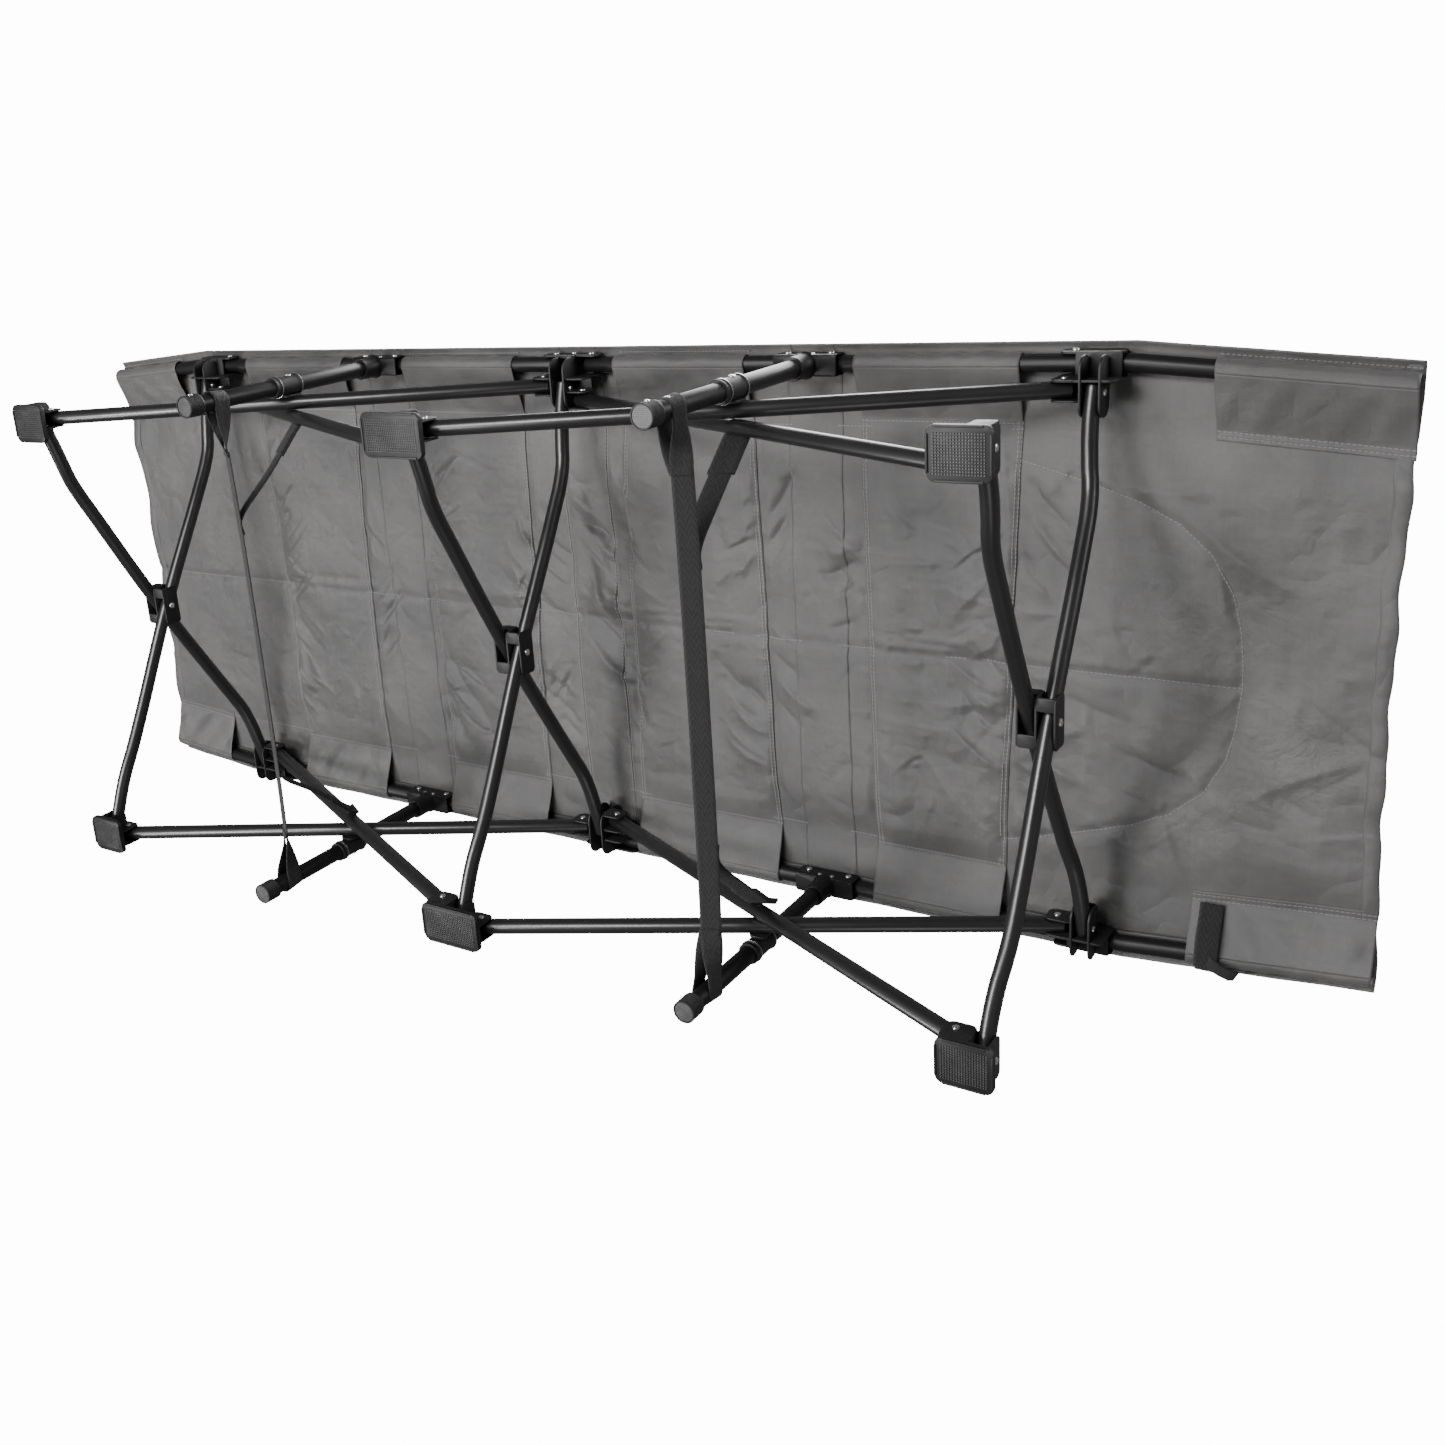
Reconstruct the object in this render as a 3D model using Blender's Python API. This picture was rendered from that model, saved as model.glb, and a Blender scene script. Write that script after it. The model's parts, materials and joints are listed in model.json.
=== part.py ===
"""Folding camp bed: a steel scissor frame with a stretched fabric deck.

Metres, +Z up, +X towards the head end, +Y the left side of someone lying on
it.  The origin is on the floor under the middle of the bed.  Three X-frames
of crossed legs carry the side rails, crossed side braces join the X-frames,
and a straight post with a sliding collar stands under each rail hinge.
"""
import math

import bmesh
import bpy
from mathutils import Vector

# ---- driving dimensions -------------------------------------------------
BAY = 0.680                 # from one X-frame to the next
FOOT_OVERHANG = 0.243       # deck beyond the foot X-frame
HEAD_OVERHANG = 0.300       # deck beyond the head X-frame
RAIL_Y = 0.336              # rail axis, from the middle of the bed
RAIL_Z = 0.367              # rail axis, above the floor
RAIL_R = 0.010
FOOT_TAPER = 0.018          # the taut deck pulls the free rail ends inwards
HEAD_TAPER = 0.022
LINK_R = 0.008              # legs and braces
LEG_Y = 0.310               # leg pivots
LOW_Z = 0.028               # pivots in the shoes
HIGH_Z = 0.338              # pivots in the rail brackets
BRACE_OFFSET = 0.030        # brace pivots, from the X-frame's plane
OUTER_BRACE_Y = 0.3125
INNER_BRACE_Y = 0.2955
RAIL_OFFSET = 0.028         # rail pivots, from the bracket's middle
POST_R = 0.011
CAP_R = 0.014
COLLAR_R = 0.0145
LEG_JOGGLE = 0.010          # how far the crossed legs stand apart at the hub
LOWER_BOW = 0.009           # how far a leg's lower end lies off its straight line
UPPER_BOW = 0.020           # and its upper end
BOW_AT = 0.095              # where along the leg, from each pivot
OVERSHOOT = 0.007           # tube beyond its pivot
WALL = 0.0012               # tube wall
GAP = 0.0003                # between pieces that rest on each other
BEND_OUT = 0.034            # the rails taper from here outwards, past a bracket
CHEEK = 0.0025              # bracket and shoe wall
SLOT = 0.0090               # half the width of the leg slot
SIDES = 4                   # bevel resolution: 12 sides

MIDDLE_X = (FOOT_OVERHANG - HEAD_OVERHANG) / 2
STATION = {
    "foot": MIDDLE_X - BAY,
    "middle": MIDDLE_X,
    "head": MIDDLE_X + BAY,
}
POST_X = {
    "foot_bay": MIDDLE_X - BAY / 2,
    "head_bay": MIDDLE_X + BAY / 2,
}
END_X = {
    "foot": STATION["foot"] - FOOT_OVERHANG,
    "head": STATION["head"] + HEAD_OVERHANG,
}
BEND_X = {"foot": STATION["foot"] - BEND_OUT, "head": STATION["head"] + BEND_OUT}
TAPER = {"foot": FOOT_TAPER, "head": HEAD_TAPER}
SIDE = {"left": 1, "right": -1}
MIDDLE_Z = (LOW_Z + HIGH_Z) / 2
DECK_Z = RAIL_Z + RAIL_R + 0.0005      # underside of the deck sheet
DECK_THICK = 0.0025
DECK_HALF = RAIL_Y + 0.0122
# sleeves stop clear of every bracket: (start, end) along the bed
SLEEVES = {
    "deck_foot": ((END_X["foot"], -0.800), (-0.635, -0.438)),
    "deck_foot_bay": ((-0.318, -0.122),),
    "deck_head_bay": ((0.040, 0.228),),
    "deck_head": ((0.372, 0.566), (0.766, END_X["head"])),
}


# ---- helpers --------------------------------------------------------------
def clear_scene():
    for obj in list(bpy.data.objects):
        bpy.data.objects.remove(obj, do_unlink=True)


def material(name, colour, roughness):
    mat = bpy.data.materials.new(name)
    mat.use_nodes = True
    shader = mat.node_tree.nodes["Principled BSDF"]
    shader.inputs["Base Color"].default_value = (*colour, 1.0)
    shader.inputs["Roughness"].default_value = roughness
    return mat


def add_object(name, data, mat=None):
    obj = bpy.data.objects.new(name, data)
    bpy.context.scene.collection.objects.link(obj)
    if mat:
        data.materials.append(mat)
    return obj


def mesh_from(bm, name):
    mesh = bpy.data.meshes.new(name)
    bmesh.ops.recalc_face_normals(bm, faces=bm.faces)
    bm.to_mesh(mesh)
    bm.free()
    return mesh


def box_mesh(name, low, high, corner=0.0):
    """A box between two corners in any order; corner rounds its upright edges."""
    low, high = Vector(low), Vector(high)
    size = Vector(abs(b - a) for a, b in zip(low, high))
    bm = bmesh.new()
    bmesh.ops.create_cube(bm, size=1.0)
    bmesh.ops.scale(bm, vec=size, verts=bm.verts)
    if corner:
        upright = [
            e for e in bm.edges
            if abs(e.verts[0].co.z - e.verts[1].co.z) > size.z / 2
        ]
        bmesh.ops.bevel(bm, geom=upright, offset=corner, segments=3,
                        profile=0.5, affect="EDGES", material=-1)
    bmesh.ops.translate(bm, vec=(low + high) / 2, verts=bm.verts)
    return mesh_from(bm, name)


def ring_mesh(name, outer, inner, z0, z1, centre, sides=24):
    """An upright tube: its wall's section is spun round the axis."""
    bm = bmesh.new()
    corners = ((inner, z0), (outer, z0), (outer, z1), (inner, z1))
    verts = [bm.verts.new((r, 0, z)) for r, z in corners]
    edges = [bm.edges.new((verts[i], verts[i - 1])) for i in range(4)]
    bmesh.ops.spin(bm, geom=verts + edges, axis=(0, 0, 1), cent=(0, 0, 0),
                   angle=2 * math.pi, steps=sides, use_merge=True)
    bmesh.ops.remove_doubles(bm, verts=bm.verts, dist=1e-6)
    bmesh.ops.translate(bm, vec=centre, verts=bm.verts)
    return mesh_from(bm, name)


def rod_mesh(name, radius, start, along, length, sides=16):
    """A solid round bar from start, along a unit axis."""
    bm = bmesh.new()
    bmesh.ops.create_cone(bm, cap_ends=True, segments=sides, radius1=radius,
                          radius2=radius, depth=length)
    turn = Vector((0, 0, 1)).rotation_difference(Vector(along)).to_matrix()
    bmesh.ops.transform(bm, matrix=turn.to_4x4(), verts=bm.verts)
    middle = Vector(start) + Vector(along) * length / 2
    bmesh.ops.translate(bm, vec=middle, verts=bm.verts)
    return mesh_from(bm, name)


def combine(name, meshes, mat, cut=()):
    """One closed body from overlapping shapes, less the cut shapes."""
    obj = add_object(name, meshes[0], mat)
    tools = [("UNION", m) for m in meshes[1:]] + [("DIFFERENCE", m) for m in cut]
    for count, (operation, mesh) in enumerate(tools):
        tool = add_object(f"{name}_tool_{count}", mesh)
        tool.hide_render = True
        tool.display_type = "WIRE"
        boolean = obj.modifiers.new(operation.title(), "BOOLEAN")
        boolean.operation = operation
        boolean.solver = "EXACT"
        boolean.object = tool
    return obj


def tube(name, points, radius, mat):
    """A hollow round tube along a polyline, open at both ends."""
    curve = bpy.data.curves.new(name, "CURVE")
    curve.dimensions = "3D"
    curve.bevel_depth = radius
    curve.bevel_resolution = SIDES
    spline = curve.splines.new("POLY")
    spline.points.add(len(points) - 1)
    for slot, point in zip(spline.points, points):
        slot.co = (*point, 1.0)
    obj = add_object(name, curve, mat)
    wall = obj.modifiers.new("Wall", "SOLIDIFY")
    wall.thickness = WALL
    wall.offset = -1.0
    return obj


def beyond(start, end, by):
    """The point past end, on the line from start."""
    start, end = Vector(start), Vector(end)
    return end + (end - start).normalized() * by


# ---- frame tubes ------------------------------------------------------------
def straight_link(name, low, high, mat):
    return tube(name, [beyond(high, low, OVERSHOOT), beyond(low, high, OVERSHOOT)],
                LINK_R, mat)


def leg_points(low, high, joggle):
    """A leg lies flatter near its pivots and steps sideways to pass the hub."""
    low, high = Vector(low), Vector(high)
    along = (high - low).normalized()
    across = Vector((0, 0, 1)) - along * along.z
    across.normalize()
    length = (high - low).length
    # distance from the low pivot, share of the bow, share of the joggle
    stops = (
        (-OVERSHOOT, OVERSHOOT / BOW_AT, 0.0),
        (0.030, -0.030 / BOW_AT, 0.0),
        (0.075, -0.82, 0.35),
        (BOW_AT, -0.97, 0.65),
        (0.120, -0.95, 0.90),
        (0.160, -0.78, 1.0),
    )
    lower = [
        low + along * s + across * LOWER_BOW * bow + Vector((joggle * side, 0, 0))
        for s, bow, side in stops
    ]
    upper = [
        low + along * (length - s) - across * UPPER_BOW * bow
        + Vector((joggle * side, 0, 0))
        for s, bow, side in reversed(stops)
    ]
    hub = low + along * length / 2 + Vector((joggle, 0, 0))
    return [*lower, hub, *upper]


def make_legs(mat):
    for place, x in STATION.items():
        for top, sign in SIDE.items():
            low = (x, -sign * LEG_Y, LOW_Z)
            high = (x, sign * LEG_Y, HIGH_Z)
            tube(f"leg_{place}_up_to_{top}",
                 leg_points(low, high, -sign * LEG_JOGGLE), LINK_R, mat)


def make_braces(mat):
    for bay, first, second in (("foot_bay", "foot", "middle"),
                               ("head_bay", "middle", "head")):
        x0 = STATION[first] + BRACE_OFFSET
        x1 = STATION[second] - BRACE_OFFSET
        for side, sign in SIDE.items():
            y = sign * OUTER_BRACE_Y
            straight_link(f"brace_outer_{bay}_{side}",
                          (x0, y, LOW_Z), (x1, y, HIGH_Z), mat)
            y = sign * INNER_BRACE_Y
            straight_link(f"brace_inner_{bay}_{side}",
                          (x1, y, LOW_Z), (x0, y, HIGH_Z), mat)


def make_rails(mat):
    for side, sign in SIDE.items():
        y = sign * RAIL_Y
        for bay, towards in (("foot_bay", -1), ("head_bay", 1)):
            inner = STATION["middle"] + towards * (RAIL_OFFSET - OVERSHOOT)
            outer = POST_X[bay] - towards * (RAIL_OFFSET - OVERSHOOT)
            tube(f"rail_{bay}_{side}",
                 [(inner, y, RAIL_Z), (outer, y, RAIL_Z)], RAIL_R, mat)
            end = "foot" if towards < 0 else "head"
            start = POST_X[bay] + towards * (RAIL_OFFSET - OVERSHOOT)
            tip = END_X[end] - towards * 0.006
            tube(f"rail_{end}_{side}",
                 [(start, y, RAIL_Z), (BEND_X[end], y, RAIL_Z),
                  (tip, y - sign * pulled_in(tip), RAIL_Z)], RAIL_R, mat)


def make_posts(tube_mat, plastic, rubber):
    for bay, x in POST_X.items():
        for side, sign in SIDE.items():
            at = Vector((x, sign * RAIL_Y, 0))
            name = f"{bay}_{side}"
            tube(f"post_{name}", [at + Vector((0, 0, 0.006)),
                                  at + Vector((0, 0, RAIL_Z - 0.0158))],
                 POST_R, tube_mat)
            cap = rod_mesh(f"post_cap_{name}", CAP_R, at, (0, 0, 1), 0.024, 24)
            bore = rod_mesh("cap_bore", POST_R + GAP, at + Vector((0, 0, 0.0057)),
                            (0, 0, 1), 0.030, 24)
            combine(f"post_cap_{name}", [cap], rubber, [bore])
            make_collar(name, at, sign, plastic)
            make_hinge(name, at, sign, plastic)


def make_collar(name, at, sign, mat):
    """A sleeve that slides on the post, with a lug for the brace crossing."""
    sleeve = ring_mesh(f"collar_{name}", COLLAR_R, POST_R + GAP, 0.150, 0.198, at)
    lug = box_mesh("lug", (at.x - 0.011, sign * 0.3212, 0.170),
                   (at.x + 0.011, sign * 0.3242, 0.196))
    combine(f"collar_{name}", [sleeve, lug], mat)


def make_hinge(name, at, sign, mat):
    """A U-shaped channel over the post, open above, that joins two rails."""
    half = 0.040
    cheeks = [
        box_mesh("cheek", (at.x - half, sign * y, RAIL_Z - 0.0155),
                 (at.x + half, sign * (y + 0.0022), RAIL_Z + 0.0090))
        for y in (0.3233, 0.3465)
    ]
    web = box_mesh("web", (at.x - half, sign * 0.3240, RAIL_Z - 0.0155),
                   (at.x + half, sign * 0.3480, RAIL_Z - 0.0130))
    socket = ring_mesh("socket", CAP_R, POST_R + GAP, RAIL_Z - 0.045,
                       RAIL_Z - 0.0145, at)
    combine(f"hinge_{name}", [web, *cheeks, socket], mat)


# ---- brackets, shoes and hubs -----------------------------------------------
def pocket(x, y, towards, sign, z0, z1):
    """Two cheeks either side of a brace end, on one side of the leg slot."""
    near = x + towards * (SLOT + 0.0005)
    far = x + towards * (BRACE_OFFSET + 0.012)
    gap = LINK_R + 0.0009
    return [
        box_mesh("pocket", (near, sign * (y + side * gap), z0),
                 (far, sign * (y + side * (gap + 0.0022)), z1))
        for side in (-1, 1)
    ]


def leg_cheeks(x, sign, y0, y1, z0, z1):
    return [
        box_mesh("cheek", (x + side * SLOT, sign * y0, z0),
                 (x + side * (SLOT + CHEEK), sign * y1, z1))
        for side in (-1, 1)
    ]


def make_middle_bracket(side, sign, mat):
    """The only bracket whose rails are pinned on both sides of it."""
    x = STATION["middle"]
    z0, z1 = HIGH_Z - 0.014, RAIL_Z + 0.0095
    shapes = leg_cheeks(x, sign, 0.2840, 0.3498, z0, z1)
    reach = RAIL_OFFSET + 0.013
    for y in (0.3214, 0.3472):
        shapes.append(box_mesh("plate", (x - reach, sign * y, RAIL_Z - 0.0125),
                               (x + reach, sign * (y + 0.0028), RAIL_Z + 0.0090)))
    shapes.append(box_mesh("roof", (x - 0.0105, sign * 0.3220, RAIL_Z + 0.0050),
                           (x + 0.0105, sign * 0.3495, RAIL_Z + 0.0085)))
    shapes += pocket(x, OUTER_BRACE_Y, -1, sign, HIGH_Z - 0.012, HIGH_Z + 0.013)
    shapes += pocket(x, INNER_BRACE_Y, 1, sign, HIGH_Z - 0.012, HIGH_Z + 0.013)
    shapes.append(box_mesh("bridge", (x - 0.038, sign * 0.3220, HIGH_Z - 0.011),
                           (x - 0.010, sign * 0.3238, RAIL_Z - 0.010)))
    shapes.append(box_mesh("bridge", (x + 0.010, sign * 0.3220, HIGH_Z - 0.011),
                           (x + 0.038, sign * 0.3238, RAIL_Z - 0.010)))
    combine(f"bracket_middle_{side}", shapes, mat)


def make_end_bracket(place, towards, brace_y, side, sign, mat):
    """The rail passes outside this bracket, pinned to its tall plate."""
    x = STATION[place]
    shapes = leg_cheeks(x, sign, 0.2840, 0.3230, HIGH_Z - 0.014, HIGH_Z + 0.0155)
    shapes.append(box_mesh("plate", (x - towards * 0.030, sign * 0.3214,
                                     HIGH_Z - 0.013),
                           (x + towards * 0.042, sign * 0.3242, RAIL_Z + 0.009)))
    shapes += pocket(x, brace_y, towards, sign, HIGH_Z - 0.012, HIGH_Z + 0.013)
    shapes.append(box_mesh("roof", (x - 0.0105, sign * 0.2850, HIGH_Z + 0.0120),
                           (x + 0.0105, sign * 0.3225, HIGH_Z + 0.0150)))
    combine(f"bracket_{place}_{side}", shapes, mat)


def make_shoe(place, braces, centre, half, side, sign, mat):
    """A flat pad under the leg slot and one or two brace pockets."""
    x = STATION[place] + centre
    leg_x = STATION[place]
    pad = box_mesh(f"shoe_{place}_{side}", (x - half, sign * 0.2826, 0.0),
                   (x + half, sign * 0.3346, 0.0080), corner=0.009)
    top = LOW_Z + 0.012
    shapes = [pad] + leg_cheeks(leg_x, sign, 0.2860, 0.3320, 0.006, top)
    for towards, y in braces:
        shapes += pocket(leg_x, y, towards, sign, 0.0055, top - 0.0005)
    shapes.append(box_mesh("back", (leg_x - 0.0105, sign * 0.3300, 0.0050),
                           (leg_x + 0.0105, sign * 0.3325, top - 0.001)))
    combine(f"shoe_{place}_{side}", shapes, mat)


def make_hub(place, mat):
    """Two side-by-side channels that the crossed legs turn in."""
    x = STATION[place]
    walls = [
        box_mesh("wall", (x + centre - 0.0010, -0.028, MIDDLE_Z - 0.013),
                 (x + centre + 0.0010, 0.028, MIDDLE_Z + 0.013))
        for centre in (-0.0197, 0.0, 0.0197)
    ]
    webs = []
    for joggle, end in ((-1, -1), (1, 1)):
        # the leg that climbs to the left passes on the foot side of the hub
        webs.append(box_mesh("web", (x, end * 0.014, MIDDLE_Z + 0.0035),
                             (x + joggle * 0.0190, end * 0.0275, MIDDLE_Z + 0.0125)))
        webs.append(box_mesh("web", (x, -end * 0.014, MIDDLE_Z - 0.0125),
                             (x + joggle * 0.0190, -end * 0.0275, MIDDLE_Z - 0.0035)))
    combine(f"hub_{place}", walls + webs, mat)


def make_brackets(mat):
    ends = {"foot": (1, INNER_BRACE_Y, ((1, OUTER_BRACE_Y),)),
            "head": (-1, OUTER_BRACE_Y, ((-1, INNER_BRACE_Y),))}
    both = ((-1, INNER_BRACE_Y), (1, OUTER_BRACE_Y))
    for side, sign in SIDE.items():
        make_middle_bracket(side, sign, mat)
        make_shoe("middle", both, 0.0, 0.044, side, sign, mat)
        for place, (towards, high_y, low_braces) in ends.items():
            make_end_bracket(place, towards, high_y, side, sign, mat)
            make_shoe(place, low_braces, towards * 0.012, 0.031, side, sign, mat)
    for place in STATION:
        make_hub(place, mat)


# ---- fabric -------------------------------------------------------------------
def pulled_in(x):
    """How far the tapering deck edge lies inside the rails' straight line."""
    for end in ("foot", "head"):
        along = (x - BEND_X[end]) / (END_X[end] - BEND_X[end])
        if along > 0:
            return along * TAPER[end]
    return 0.0


def sleeve_mesh(start, end, sign):
    """A fabric tunnel round the rail, sewn back to the deck inside it."""
    skin = 0.0012
    inner = RAIL_R + 0.0006
    outer = inner + skin
    arc = [math.radians(a) for a in range(75, -106, -30)]
    wrap = [(RAIL_Y + outer * math.cos(a), RAIL_Z + outer * math.sin(a)) for a in arc]
    lining = [(RAIL_Y + inner * math.cos(a), RAIL_Z + inner * math.sin(a)) for a in arc]
    seam_y = RAIL_Y - 0.058
    section = [(RAIL_Y - 0.002, DECK_Z + 0.0018), *wrap, (seam_y, DECK_Z - 0.0006),
               (seam_y, DECK_Z + 0.0014), (seam_y + 0.006, DECK_Z + 0.0014),
               (seam_y + 0.006, DECK_Z - 0.0010), *reversed(lining),
               (RAIL_Y - 0.002, DECK_Z + 0.0006)]
    bm = bmesh.new()
    face = bm.faces.new([
        bm.verts.new((start, sign * (y - pulled_in(start)), z)) for y, z in section
    ])
    grown = bmesh.ops.extrude_face_region(bm, geom=[face])
    moved = [v for v in grown["geom"] if isinstance(v, bmesh.types.BMVert)]
    sideways = -sign * (pulled_in(end) - pulled_in(start))
    bmesh.ops.translate(bm, vec=(end - start, sideways, 0), verts=moved)
    return mesh_from(bm, "sleeve")


def deck_mesh(name, start, end):
    """The flat sheet of one panel, tapering beyond the end X-frames."""
    stops = [start, end]
    stops += [x for x in BEND_X.values() if start < x < end]
    stops.sort()
    left = [(x, DECK_HALF - 0.002 - pulled_in(x)) for x in stops]
    right = [(x, -y) for x, y in reversed(left)]
    bm = bmesh.new()
    face = bm.faces.new([bm.verts.new((x, y, DECK_Z)) for x, y in left + right])
    grown = bmesh.ops.extrude_face_region(bm, geom=[face])
    moved = [v for v in grown["geom"] if isinstance(v, bmesh.types.BMVert)]
    bmesh.ops.translate(bm, vec=(0, 0, DECK_THICK), verts=moved)
    return mesh_from(bm, name)


def make_deck(mat):
    edges = {
        "deck_foot": (END_X["foot"], POST_X["foot_bay"]),
        "deck_foot_bay": (POST_X["foot_bay"], STATION["middle"]),
        "deck_head_bay": (STATION["middle"], POST_X["head_bay"]),
        "deck_head": (POST_X["head_bay"], END_X["head"]),
    }
    for name, (start, end) in edges.items():
        sheet = deck_mesh(name, start + GAP / 2, end - GAP / 2)
        sleeves = [
            sleeve_mesh(max(a, start + 0.001), min(b, end - 0.001), sign)
            for a, b in SLEEVES[name] for sign in SIDE.values()
        ]
        combine(name, [sheet, *sleeves], mat)


def make_straps(mat):
    """Webbing between the posts, forked at each end to the brace crossing."""
    half, thick = 0.0125, 0.0018
    post_y, post_z = RAIL_Y - POST_R - 0.0012, 0.052
    fork_y, fork_z = 0.182, 0.071
    cross_y, cross_z = INNER_BRACE_Y - LINK_R - 0.0030, MIDDLE_Z - 0.004
    for bay, x in POST_X.items():
        # one half of the outline, from the middle of the bed outwards
        upper = [(0.0, fork_z + thick), (fork_y - 0.004, fork_z + thick),
                 (cross_y - thick, cross_z), (cross_y, cross_z),
                 (fork_y + 0.004, fork_z + thick), (post_y, post_z + thick)]
        lower = [(post_y, post_z), (fork_y, fork_z), (0.0, fork_z)]
        outline = upper + lower
        mirrored = [(-y, z) for y, z in reversed(outline) if y > 0]
        bm = bmesh.new()
        ring = outline[:-1] + [(0.0, fork_z)] + mirrored
        face = bm.faces.new([bm.verts.new((x - half, y, z)) for y, z in ring])
        grown = bmesh.ops.extrude_face_region(bm, geom=[face])
        moved = [v for v in grown["geom"] if isinstance(v, bmesh.types.BMVert)]
        bmesh.ops.translate(bm, vec=(2 * half, 0, 0), verts=moved)
        add_object(f"strap_{bay}", mesh_from(bm, f"strap_{bay}"), mat)


def main():
    clear_scene()
    steel = material("satin_black_steel", (0.014, 0.015, 0.015), 0.38)
    plastic = material("black_plastic", (0.017, 0.018, 0.018), 0.55)
    rubber = material("black_rubber", (0.025, 0.025, 0.024), 0.80)
    cloth = material("grey_cloth", (0.115, 0.113, 0.110), 0.75)
    webbing = material("black_webbing", (0.020, 0.020, 0.020), 0.85)
    make_rails(steel)
    make_legs(steel)
    make_braces(steel)
    make_posts(steel, plastic, rubber)
    make_brackets(plastic)
    make_deck(cloth)
    make_straps(webbing)


main()
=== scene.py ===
"""Folding camp bed: detailed fabric, tubes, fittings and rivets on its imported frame."""
import json
import math
import random

import bmesh
import bpy
import numpy as np
from mathutils import Matrix, Vector


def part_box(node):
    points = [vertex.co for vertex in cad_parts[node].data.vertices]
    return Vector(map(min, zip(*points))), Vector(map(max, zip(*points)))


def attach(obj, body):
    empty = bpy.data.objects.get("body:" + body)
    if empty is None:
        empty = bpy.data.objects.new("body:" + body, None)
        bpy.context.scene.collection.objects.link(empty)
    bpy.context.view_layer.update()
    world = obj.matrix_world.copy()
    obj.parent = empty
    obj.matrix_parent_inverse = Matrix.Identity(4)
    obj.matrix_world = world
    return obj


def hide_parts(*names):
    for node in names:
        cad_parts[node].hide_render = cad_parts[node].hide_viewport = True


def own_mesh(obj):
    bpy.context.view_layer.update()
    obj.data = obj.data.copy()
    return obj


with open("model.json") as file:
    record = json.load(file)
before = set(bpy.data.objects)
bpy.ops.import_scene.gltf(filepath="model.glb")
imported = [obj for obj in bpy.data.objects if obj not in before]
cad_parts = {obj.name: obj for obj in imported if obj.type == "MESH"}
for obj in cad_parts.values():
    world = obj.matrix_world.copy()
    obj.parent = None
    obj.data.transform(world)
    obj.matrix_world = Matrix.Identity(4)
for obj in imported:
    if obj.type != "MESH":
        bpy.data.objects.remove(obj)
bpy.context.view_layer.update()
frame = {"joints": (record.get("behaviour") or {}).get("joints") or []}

bl_info = {
    "name": "Folding Camp Bed",
    "version": (1, 0, 0),
    "blender": (4, 5, 0),
    "location": "3D View > Sidebar > Camp Bed",
    "description": "Builds the camp bed's fabric, tubes, fittings and rivets on its frame",
    "category": "Add Mesh",
}

# ---- places taken from the frame's joints ---------------------------------
PIVOT = {joint["name"]: joint["pos_m"] for joint in frame["joints"] if "pos_m" in joint}
SIDE = {"left": 1, "right": -1}
X_MIDDLE, LEG_Y, LOW_Z = PIVOT["fold"]
LEG_Y = abs(LEG_Y)
HIGH_Z = PIVOT["bracket_middle_left_turn"][2]
MIDDLE_Z = (LOW_Z + HIGH_Z) / 2
STATION = {"foot": PIVOT["leg_a_foot_turn"][0], "middle": X_MIDDLE,
           "head": PIVOT["leg_a_head_turn"][0]}
PIVOT_X, RAIL_Y, RAIL_Z = PIVOT["rail_foot_bay_left_turn"]
RAIL_OFFSET = X_MIDDLE - PIVOT_X
POST_X = {"foot_bay": PIVOT["post_foot_bay_left_turn"][0] - RAIL_OFFSET,
          "head_bay": PIVOT["post_head_bay_left_turn"][0] + RAIL_OFFSET}
BRACE_OFFSET = PIVOT["shoe_foot_left_turn"][0] - STATION["foot"]
OUTER_BRACE_Y = PIVOT["brace_outer_foot_bay_left_turn"][1]
INNER_BRACE_Y = PIVOT["brace_inner_foot_bay_left_turn"][1]
DECK_LOW, DECK_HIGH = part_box("deck_foot")[0].x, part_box("deck_head")[1].x
END_X = {"foot": DECK_LOW, "head": DECK_HIGH}

# ---- sizes of the tubes and fittings ---------------------------------------
RAIL_R = 0.010
POST_R = 0.011
BORE_R = POST_R + 0.0003    # of what slides on or caps a post
OVERSHOOT = 0.007           # tube beyond its pivot
LEG_R = 0.0088              # a leg just fills its slot
LEG_OVAL = 1.14             # the legs are deeper than they are wide
BRACE_R = {"outer": 0.0095, "inner": 0.0086}
BRACE_DEPTH = 0.0112        # half of a brace's depth in the plane it turns in
INNER_SHIFT = 0.0012        # keeps the two braces apart where they cross
LEG_JOGGLE = 0.010          # how far the crossed legs stand apart at the hub
LOWER_BOW = 0.009           # how far a leg's lower end lies off its straight line
UPPER_BOW = 0.020           # and its upper end
BOW_AT = 0.095              # where along the leg, from each pivot
BEND_OUT = 0.034            # the rails taper from here outwards
TAPER = {"foot": 0.018, "head": 0.022}
SLOT = 0.0090               # half the width of a leg's slot
CHEEK = 0.0025
POCKET_GAP = BRACE_R["outer"] + 0.0003
POCKET_WALL = 0.0022
# the plates beside a rail: inside, outer face and the way it faces
PLATES = ((0.3242, 0.3214, -1), (0.3472, 0.3500, 1))
HINGE_PLATES = ((0.3255, 0.3233, -1), (0.3465, 0.3487, 1))
SHOE_Y = (0.2826, 0.3346)
HUB_WALLS = (-0.0197, 0.0, 0.0197)

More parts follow.
